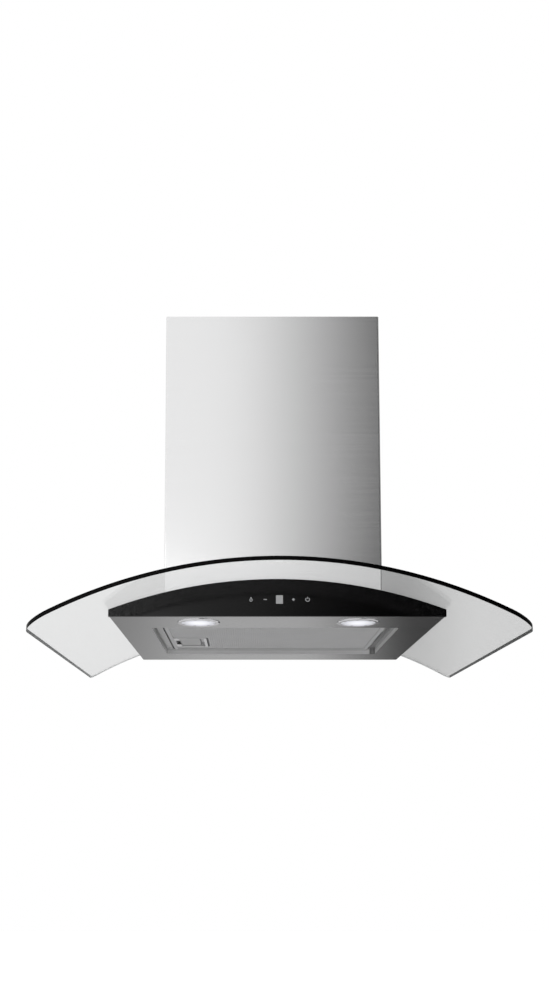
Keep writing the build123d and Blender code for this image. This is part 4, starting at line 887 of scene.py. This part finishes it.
cutter = bmesh.new()
cutter.from_mesh(pane_flat)
bmesh.ops.remove_doubles(cutter, verts=cutter.verts, dist=SAME_POINT)
bmesh.ops.dissolve_limit(cutter, angle_limit=0.01, verts=cutter.verts, edges=cutter.edges)
x = glass_low.x + STRIP
while x < glass_high.x:
    everything = cutter.verts[:] + cutter.edges[:] + cutter.faces[:]
    bmesh.ops.bisect_plane(cutter, geom=everything, plane_co=(x, 0, 0), plane_no=(1, 0, 0))
    x += STRIP
bmesh.ops.recalc_face_normals(cutter, faces=cutter.faces)
if cutter.faces[:][0].normal.z < 0:
    bmesh.ops.reverse_faces(cutter, faces=cutter.faces)
print("strips:", len(cutter.faces), "faces")
cutter.to_mesh(pane_flat)
cutter.free()

# %% [markdown]
# The recipe gives the flat pane its thickness, lifts each point onto the arc of its own height, and
# tells the rim from the faces, because the two have different finishes.

# %% Bend it and give it its thickness
GLASS_RADIUS = 0.600
GLASS_THICK = 0.005
ARC_MIDDLE = glass_high.z - GLASS_RADIUS - GLASS_THICK

bend = Recipe("bent_pane", ["Radius", "Thickness", "Middle"])
up = bend.vector(0.0, 0.0, bend.size("Thickness"))
raised = {"Mesh": bend.given, "Offset": up, "Offset Scale": 1.0, "Individual": False}
thick = bend.node("GeometryNodeExtrudeMesh", {"mode": "FACES"}, raised)
rim_side = Value(bend, thick.socket.node.outputs["Side"])
below = bend.node("GeometryNodeFlipFaces", (), {"Mesh": bend.given})
sewn = {"Geometry": bend.join(thick, below), "Distance": SAME_POINT}
closed = bend.node("GeometryNodeMergeByDistance", (), sewn)
own_radius = bend.size("Radius") + bend.position("Z")
arc = (own_radius ** 2.0 - bend.position("X") ** 2.0) ** 0.5 + bend.size("Middle")
onto_arc = bend.vector(bend.position("X"), bend.position("Y"), arc)
curved = bend.node("GeometryNodeSetPosition", (), {"Geometry": closed, "Position": onto_arc})
clear = bend.node("GeometryNodeSetMaterial", (), {"Geometry": curved, "Material": glass_face})
bend.end(clear, glass_rim, rim_side)

pane_sizes = {"Radius": GLASS_RADIUS, "Thickness": GLASS_THICK, "Middle": ARC_MIDDLE}
bent = cook(bend, pane_flat, glass_face, pane_sizes)
print("bent pane:", len(bent.polygons), "faces in", [material.name for material in bent.materials])

# %% [markdown]
# The edges of tempered glass are ground to a small bevel first, since a sharp edge would start a
# crack. Every edge could be picked by hand, but a Bevel modifier that looks for steep angles finds
# just those. The bevels belong to the dark rim.

# %% Grind the edges and put the pane in
GROUND = 0.0006


def ground(mesh, width, segments, rim_slot):
    """A mesh with its steep edges bevelled."""
    pot = put_in("pot", mesh)
    bevel = pot.modifiers.new("ground", "BEVEL")
    bevel.width = width
    bevel.segments = segments
    bevel.limit_method = "ANGLE"
    bevel.angle_limit = math.radians(60)
    bevel.material = rim_slot
    return as_mesh(pot)


def smooth(mesh):
    """Smooth shading that stops where the finish changes."""
    mesh.polygons.foreach_set("use_smooth", [True] * len(mesh.polygons))
    shaped = bmesh.new()
    shaped.from_mesh(mesh)
    for edge in shaped.edges:
        edge.smooth = len({face.material_index for face in edge.link_faces}) == 1
    shaped.to_mesh(mesh)
    shaped.free()


pane = ground(bent, GROUND, 2, bent.materials.find(glass_rim.name))
smooth(pane)
piece("bent_glass_canopy", pane, "hood", ["glass_canopy"])

# %% [markdown]
# ### The grease filter's mesh
# A grease filter is filled with layers of expanded metal: aluminium sheet that is slit and drawn
# apart, so that the strips between the slits become diamonds. A bump on a flat plate would pass
# from afar, but from below one looks through the holes. Each strip is a zigzag that touches its
# neighbours by turns. So the recipe takes a grid, keeps only its lines along X, moves every other
# point of a line back and the rest forward, and gives the lines the section of a strip. Points in
# the latch's tray are left out.

# %% The recipe of expanded metal
def slit_lines(metal):
    """The lines of the given grid that run along X."""
    ends = []
    for place in ("Position 1", "Position 2"):
        found = metal.node("GeometryNodeInputMeshEdgeVertices", out=place)
        ends.append(metal.node("ShaderNodeSeparateXYZ", (), {"Vector": found}, out="Y"))
    only_lines = {"domain": "EDGE", "mode": "EDGE_FACE"}
    grid = {"Geometry": metal.given, "Selection": abs(ends[0] - ends[1]) > 1e-5}
    return metal.node("GeometryNodeDeleteGeometry", only_lines, grid)


def drawn_apart(metal, lines):
    """The lines as zigzags, at the height of their layer."""
    column = metal.position("X") / (metal.size("Long") * 0.5)
    row = metal.position("Y") / (metal.size("Short") * 0.5)
    odd = (column.whole() + row.whole()) % 2.0 > 0.5
    swing = (odd - 0.5) * metal.size("Short") * 0.5
    moved = {"Geometry": lines, "Offset": metal.vector(0.0, swing, metal.size("Height"))}
    return metal.node("GeometryNodeSetPosition", (), moved)


def clear_of_tray(metal, zigzag):
    """The zigzags without their points in the latch's tray."""
    in_tray = (metal.position("X") < metal.size("Tray X")) * (metal.position("Y") > metal.size("Tray Front"))
    in_tray = in_tray * (metal.position("Y") < metal.size("Tray Rear"))
    cut = {"Geometry": zigzag, "Selection": in_tray > 0.5}
    return metal.node("GeometryNodeDeleteGeometry", {"domain": "POINT", "mode": "ALL"}, cut)


def expanded_metal():
    sizes = ["Long", "Short", "Width", "Thickness", "Height", "Tray X", "Tray Front", "Tray Rear"]
    metal = Recipe("expanded_metal", sizes)
    open_lines = clear_of_tray(metal, drawn_apart(metal, slit_lines(metal)))
    strands = metal.node("GeometryNodeMeshToCurve", (), {"Mesh": open_lines})
    level = metal.node("GeometryNodeSetCurveNormal", {"mode": "Z_UP"}, {"Curve": strands})
    strip = {"Width": metal.size("Width"), "Height": metal.size("Thickness")}
    section = metal.node("GeometryNodeCurvePrimitiveQuadrilateral", (), strip)
    drawn = {"Curve": level, "Profile Curve": section, "Fill Caps": True}
    metal.end(metal.node("GeometryNodeCurveToMesh", (), drawn), strand)
    return metal


diamonds = expanded_metal()

# %% [markdown]
# The grid that the recipe takes has a point at each half diamond, counted from the hood's middle,
# so that the diamonds stay in step with the zigzag's odd and even points.

# %% The lines of a sheet
SHEET_EDGE = 0.001


def line_grid(low, high, long, short):
    """A grid of a sheet's slit lines: half a diamond apart both ways."""
    grid = bmesh.new()
    columns = int((high.x - low.x - SHEET_EDGE) / (long / 2))
    rows = int((high.y - low.y - SHEET_EDGE) / (short / 2)) - 1
    bmesh.ops.create_grid(grid, x_segments=columns, y_segments=rows, size=0.5)
    left = (low.x + high.x) / 2 - columns * long / 4
    front = (low.y + high.y) / 2 - rows * short / 4
    for vert in grid.verts:
        vert.co.x = (round(left / (long / 2)) + round((vert.co.x + 0.5) * columns)) * long / 2
        vert.co.y = (round(front / (short / 2)) + round((vert.co.y + 0.5) * rows)) * short / 2
    mesh = bpy.data.meshes.new("lines")
    grid.to_mesh(mesh)
    grid.free()
    return mesh


filter_low, filter_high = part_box("filter_mesh")
print("filter's mesh in mm:", in_mm([filter_low, filter_high]))

# %% [markdown]
# Three layers fill the frame, the finest at the bottom and the coarsest on top, as in a real
# filter. Only the layers that are as low as the latch's tray are cut out round it.

# %% Three layers
LAYERS = [  # height, long way and short way of a diamond, width of a strip
    (0.0004, 0.0064, 0.0030, 0.0009),
    (0.0037, 0.0110, 0.0056, 0.0019),
    (0.0070, 0.0130, 0.0068, 0.0024),
]
STRIP_THICK = 0.0006
TRAY_END_GAP = 0.001
TRAY_SIDE_GAP = 0.002
NO_TRAY = -1.0  # an X that no point of the filter reaches
tray_low, tray_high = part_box("latch_tray")


def layer(height, long, short, width):
    """One sheet of expanded metal."""
    beside_tray = filter_low.z + height < tray_high.z
    sizes = {
        "Long": long,
        "Short": short,
        "Width": width,
        "Thickness": STRIP_THICK,
        "Height": filter_low.z + height,
        "Tray X": tray_high.x + TRAY_END_GAP if beside_tray else NO_TRAY,
        "Tray Front": tray_low.y - TRAY_SIDE_GAP,
        "Tray Rear": tray_high.y + TRAY_SIDE_GAP,
    }
    made = cook(diamonds, line_grid(filter_low, filter_high, long, short), strand, sizes)
    print("layer", height / MM, "mm up:", len(made.polygons), "faces")
    return made


def merged(meshes):
    """One mesh from several, with the materials of the first."""
    whole = bmesh.new()
    for mesh in meshes:
        whole.from_mesh(mesh)
    made = bpy.data.meshes.new("merged")
    whole.to_mesh(made)
    whole.free()
    for material in meshes[0].materials:
        made.materials.append(material)
    return made


sheets = [layer(*sizes) for sizes in LAYERS]
piece("filter_expanded_metal", merged(sheets), "filter", ["filter_mesh"])

# %% [markdown]
# ### Touch signs
# The controls are four signs printed on the glass beside the display: a lamp, minus, plus and the
# power ring. Painted by a material, they would be lost in the exported shape. So each is an
# outline that is filled flat by a 2-D curve.

# %% Outlines of the signs
def bar(x, z, width, height):
    """An upright bar about its middle."""
    left, right = x - width / 2, x + width / 2
    foot, top = z - height / 2, z + height / 2
    return [(left, foot), (right, foot), (right, top), (left, top)]


def open_ring(outer, inner, gap, steps=28):
    """A ring that is open at its top over an angle in degrees."""
    turns = [math.radians(90 + gap / 2 + (360 - gap) * k / steps) for k in range(steps + 1)]
    points = [(outer * math.cos(t), outer * math.sin(t)) for t in turns]
    return points + [(inner * math.cos(t), inner * math.sin(t)) for t in reversed(turns)]


def plus(size, line):
    """A plus: its lower half, and the same turned round for the upper one."""
    a, b = size / 2, line / 2
    lower = [(-a, -b), (-b, -b), (-b, -a), (b, -a), (b, -b), (a, -b)]
    return lower + [(-x, -z) for x, z in lower]


LAMP_Z = -0.0007
BAR_Z = 0.0020
SIGNS = {  # how far a sign is from the display, and its outlines
    "lamp": (-0.0358, [ring(0, LAMP_Z, 0.0020), ring(0, LAMP_Z, 0.0011), bar(0, BAR_Z, 0.0013, 0.0018)]),
    "minus": (-0.0179, [bar(0, 0, 0.0042, 0.0011)]),
    "plus": (0.0176, [plus(0.0034, 0.0013)]),
    "power": (0.0355, [open_ring(0.0029, 0.0019, 70), bar(0, BAR_Z, 0.0009, 0.0028)]),
}
print("signs:", {name: f"{offset / MM:.1f} mm" for name, (offset, outlines) in SIGNS.items()})

# %% [markdown]
# The signs are stood upright on the glass and made a twentieth of a millimetre thick, which is
# about what screen printing leaves. The tool that evens out their triangles lists them in another
# order each time, so they are sorted before they become a mesh.

# %% Print the signs on the glass
INK = 0.00005
display_low, display_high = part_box("display_window")
SIGN_Z = (display_low.z + display_high.z) / 2
DISPLAY_X = (display_low.x + display_high.x) / 2
GLASS_FRONT = display_low.y


def from_lowest(corners):
    """The corner numbers of a face in their order, from the lowest one on."""
    start = corners.index(min(corners))
    return corners[start:] + corners[:start]


printed = moulded("printed_ink", (0.46, 0.47, 0.48), 0.45, 2500.0, 0.01 * MM)
signs = bmesh.new()
for offset, outlines in SIGNS.values():
    start = len(signs.verts)
    signs.from_mesh(flat_sheet(outlines))
    signs.verts.ensure_lookup_table()
    for vert in signs.verts[start:]:
        vert.co = (DISPLAY_X + offset + vert.co.x, GLASS_FRONT, SIGN_Z + vert.co.y)
bmesh.ops.beautify_fill(signs, faces=signs.faces, edges=signs.edges)
bmesh.ops.recalc_face_normals(signs, faces=signs.faces)
raised = bmesh.ops.extrude_face_region(signs, geom=signs.faces[:], use_keep_orig=True)
for vert in [item for item in raised["geom"] if isinstance(item, bmesh.types.BMVert)]:
    vert.co.y -= INK
bmesh.ops.recalc_face_normals(signs, faces=signs.faces)
signs.verts.index_update()
sign_faces = sorted(from_lowest([vert.index for vert in face.verts]) for face in signs.faces)
sign_mesh = bpy.data.meshes.new("touch_signs")
sign_mesh.from_pydata([vert.co for vert in signs.verts], [], sign_faces)
signs.free()
sign_mesh.materials.append(printed)
piece("touch_signs", sign_mesh, "hood")

# %% [markdown]
# ### Screws
# The visible screws have domed heads with a cross recess. Each could be modelled where it sits, but
# one recipe makes them all alike. Its head is a cylinder whose top is pulled down towards the rim,
# less two crossed bars.

# %% The head of a screw
ROUND = 40
DOME_RINGS = 8
DOME_DROP = 0.55  # of the head's height, at the rim
ARM_LONG = 0.62  # of the head's radius
ARM_WIDE = 0.17
ARM_LIFT = 0.95  # of the head's height


def domed(screw, head, tall):
    """The blank of a head."""
    steps = {"Vertices": ROUND, "Side Segments": 1, "Fill Segments": DOME_RINGS}
    disc = screw.node("GeometryNodeMeshCylinder", (), {**steps, "Radius": head, "Depth": tall})
    out = (screw.position("X") ** 2.0 + screw.position("Y") ** 2.0) ** 0.5 / head
    pull = (screw.position("Z") > 0.0) * (out ** 2.0) * tall * DOME_DROP
    moved = {"Geometry": disc, "Offset": screw.vector(0.0, 0.0, tall * 0.5 - pull)}
    return screw.node("GeometryNodeSetPosition", (), moved)


def arm(screw, head, tall, long, wide):
    """One of the bars that are taken out of a head."""
    size = screw.vector(head * long * 2.0, head * wide * 2.0, tall)
    block = screw.node("GeometryNodeMeshCube", (), {"Size": size})
    lift = {"Geometry": block, "Offset": screw.vector(0.0, 0.0, tall * ARM_LIFT)}
    return screw.node("GeometryNodeSetPosition", (), lift)


def recessed(screw, head, tall):
    """The head with its cross."""
    blank = domed(screw, head, tall)
    arms = [arm(screw, head, tall, ARM_LONG, ARM_WIDE), arm(screw, head, tall, ARM_WIDE, ARM_LONG)]
    exact = {"operation": "DIFFERENCE", "solver": "EXACT"}
    cut = screw.node("GeometryNodeMeshBoolean", exact, {"Mesh 1": blank, "Self Intersection": True})
    for bar_of_cross in arms:
        screw.nodes.links.new(bar_of_cross.socket, cut.socket.node.inputs["Mesh 2"])
    return cut


print("a head's cross is", round(2 * ARM_LONG, 2), "of its radius across")

# %% [markdown]
# The screw is set on each point of a small mesh and turned towards the direction that is stored
# there, and by a chance angle, because no two screws stop at the same one.

# %% The whole screw on its places
QUARTER = 1.57
CHANCE_SEED = 4


def screw_turn(screw):
    """Towards the stored direction, and then round it by chance."""
    stored = {"data_type": "FLOAT_VECTOR"}
    facing = screw.node("GeometryNodeInputNamedAttribute", stored, {"Name": "facing"})
    aim = screw.node("FunctionNodeAlignRotationToVector", {"axis": "Z"}, {"Vector": facing})
    spread = {2: 0.0, 3: QUARTER, "Seed": CHANCE_SEED}
    chance = screw.node("FunctionNodeRandomValue", {"data_type": "FLOAT"}, spread, out=1)
    twist = screw.node("FunctionNodeEulerToRotation", (), {"Euler": screw.vector(0.0, 0.0, chance)})
    turned = {"Rotation": aim, "Rotate By": twist}
    return screw.node("FunctionNodeRotateRotation", {"rotation_space": "LOCAL"}, turned)


def cross_head():
    screw = Recipe("cross_head", ["Head", "Tall", "Shank", "Length"])
    head = recessed(screw, screw.size("Head"), screw.size("Tall"))
    length = screw.size("Length")
    rod = {"Vertices": 12, "Side Segments": 1, "Radius": screw.size("Shank"), "Depth": length}
    shank = screw.node("GeometryNodeMeshCylinder", (), rod)
    lowered = {"Geometry": shank, "Offset": screw.vector(0.0, 0.0, length * -0.5)}
    whole = screw.join(head, screw.node("GeometryNodeSetPosition", (), lowered))
    spots = screw.node("GeometryNodeMeshToPoints", (), {"Mesh": screw.given})
    placed = {"Points": spots, "Instance": whole, "Rotation": screw_turn(screw)}
    screw.end(screw.node("GeometryNodeInstanceOnPoints", (), placed), plated_steel)
    return screw


cross = cross_head()

# %% [markdown]
# Both pairs of chimney screws stand in the side walls. Their size comes from the frame's pieces,
# which they replace.

# %% Screws in the chimney's sides
SHANK_RADIUS = 0.0014
SHANK_LENGTH = 0.008
SLIVER = 2e-6


def marked_points(places, facings):
    """A mesh of loose points that each store the direction they face."""
    mesh = bpy.data.meshes.new("places")
    mesh.from_pydata(places, [], [])
    stored = mesh.attributes.new("facing", "FLOAT_VECTOR", "POINT")
    for item, facing in zip(stored.data, facings):
        item.vector = facing
    return mesh


def without_slivers(mesh):
    """The mesh without the faces of a few thousandths of a millimetre that a Boolean leaves."""
    trimmed = bmesh.new()
    trimmed.from_mesh(mesh)
    bmesh.ops.dissolve_degenerate(trimmed, dist=SLIVER, edges=trimmed.edges)
    trimmed.to_mesh(mesh)
    trimmed.free()
    return mesh


def side_screws(name, body, node, wall_node):
    """A screw in each side wall, in place of a node, as large as the node's box says."""
    low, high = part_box(node)
    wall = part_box(wall_node)[1].x
    places = [(hand * wall, (low.y + high.y) / 2, (low.z + high.z) / 2) for hand in (-1, 1)]
    points = marked_points(places, [(-1, 0, 0), (1, 0, 0)])
    head = (high.z - low.z) / 2
    sizes = {"Head": head, "Tall": high.x - wall, "Shank": SHANK_RADIUS, "Length": SHANK_LENGTH}
    mesh = without_slivers(cook(cross, points, plated_steel, sizes))
    piece(name, mesh, body, [node])


side_screws("chimney_cross_screws", "hood", "chimney_screws", "chimney_lower")
side_screws("top_cross_screws", "upper_chimney", "top_screws", "chimney_upper")
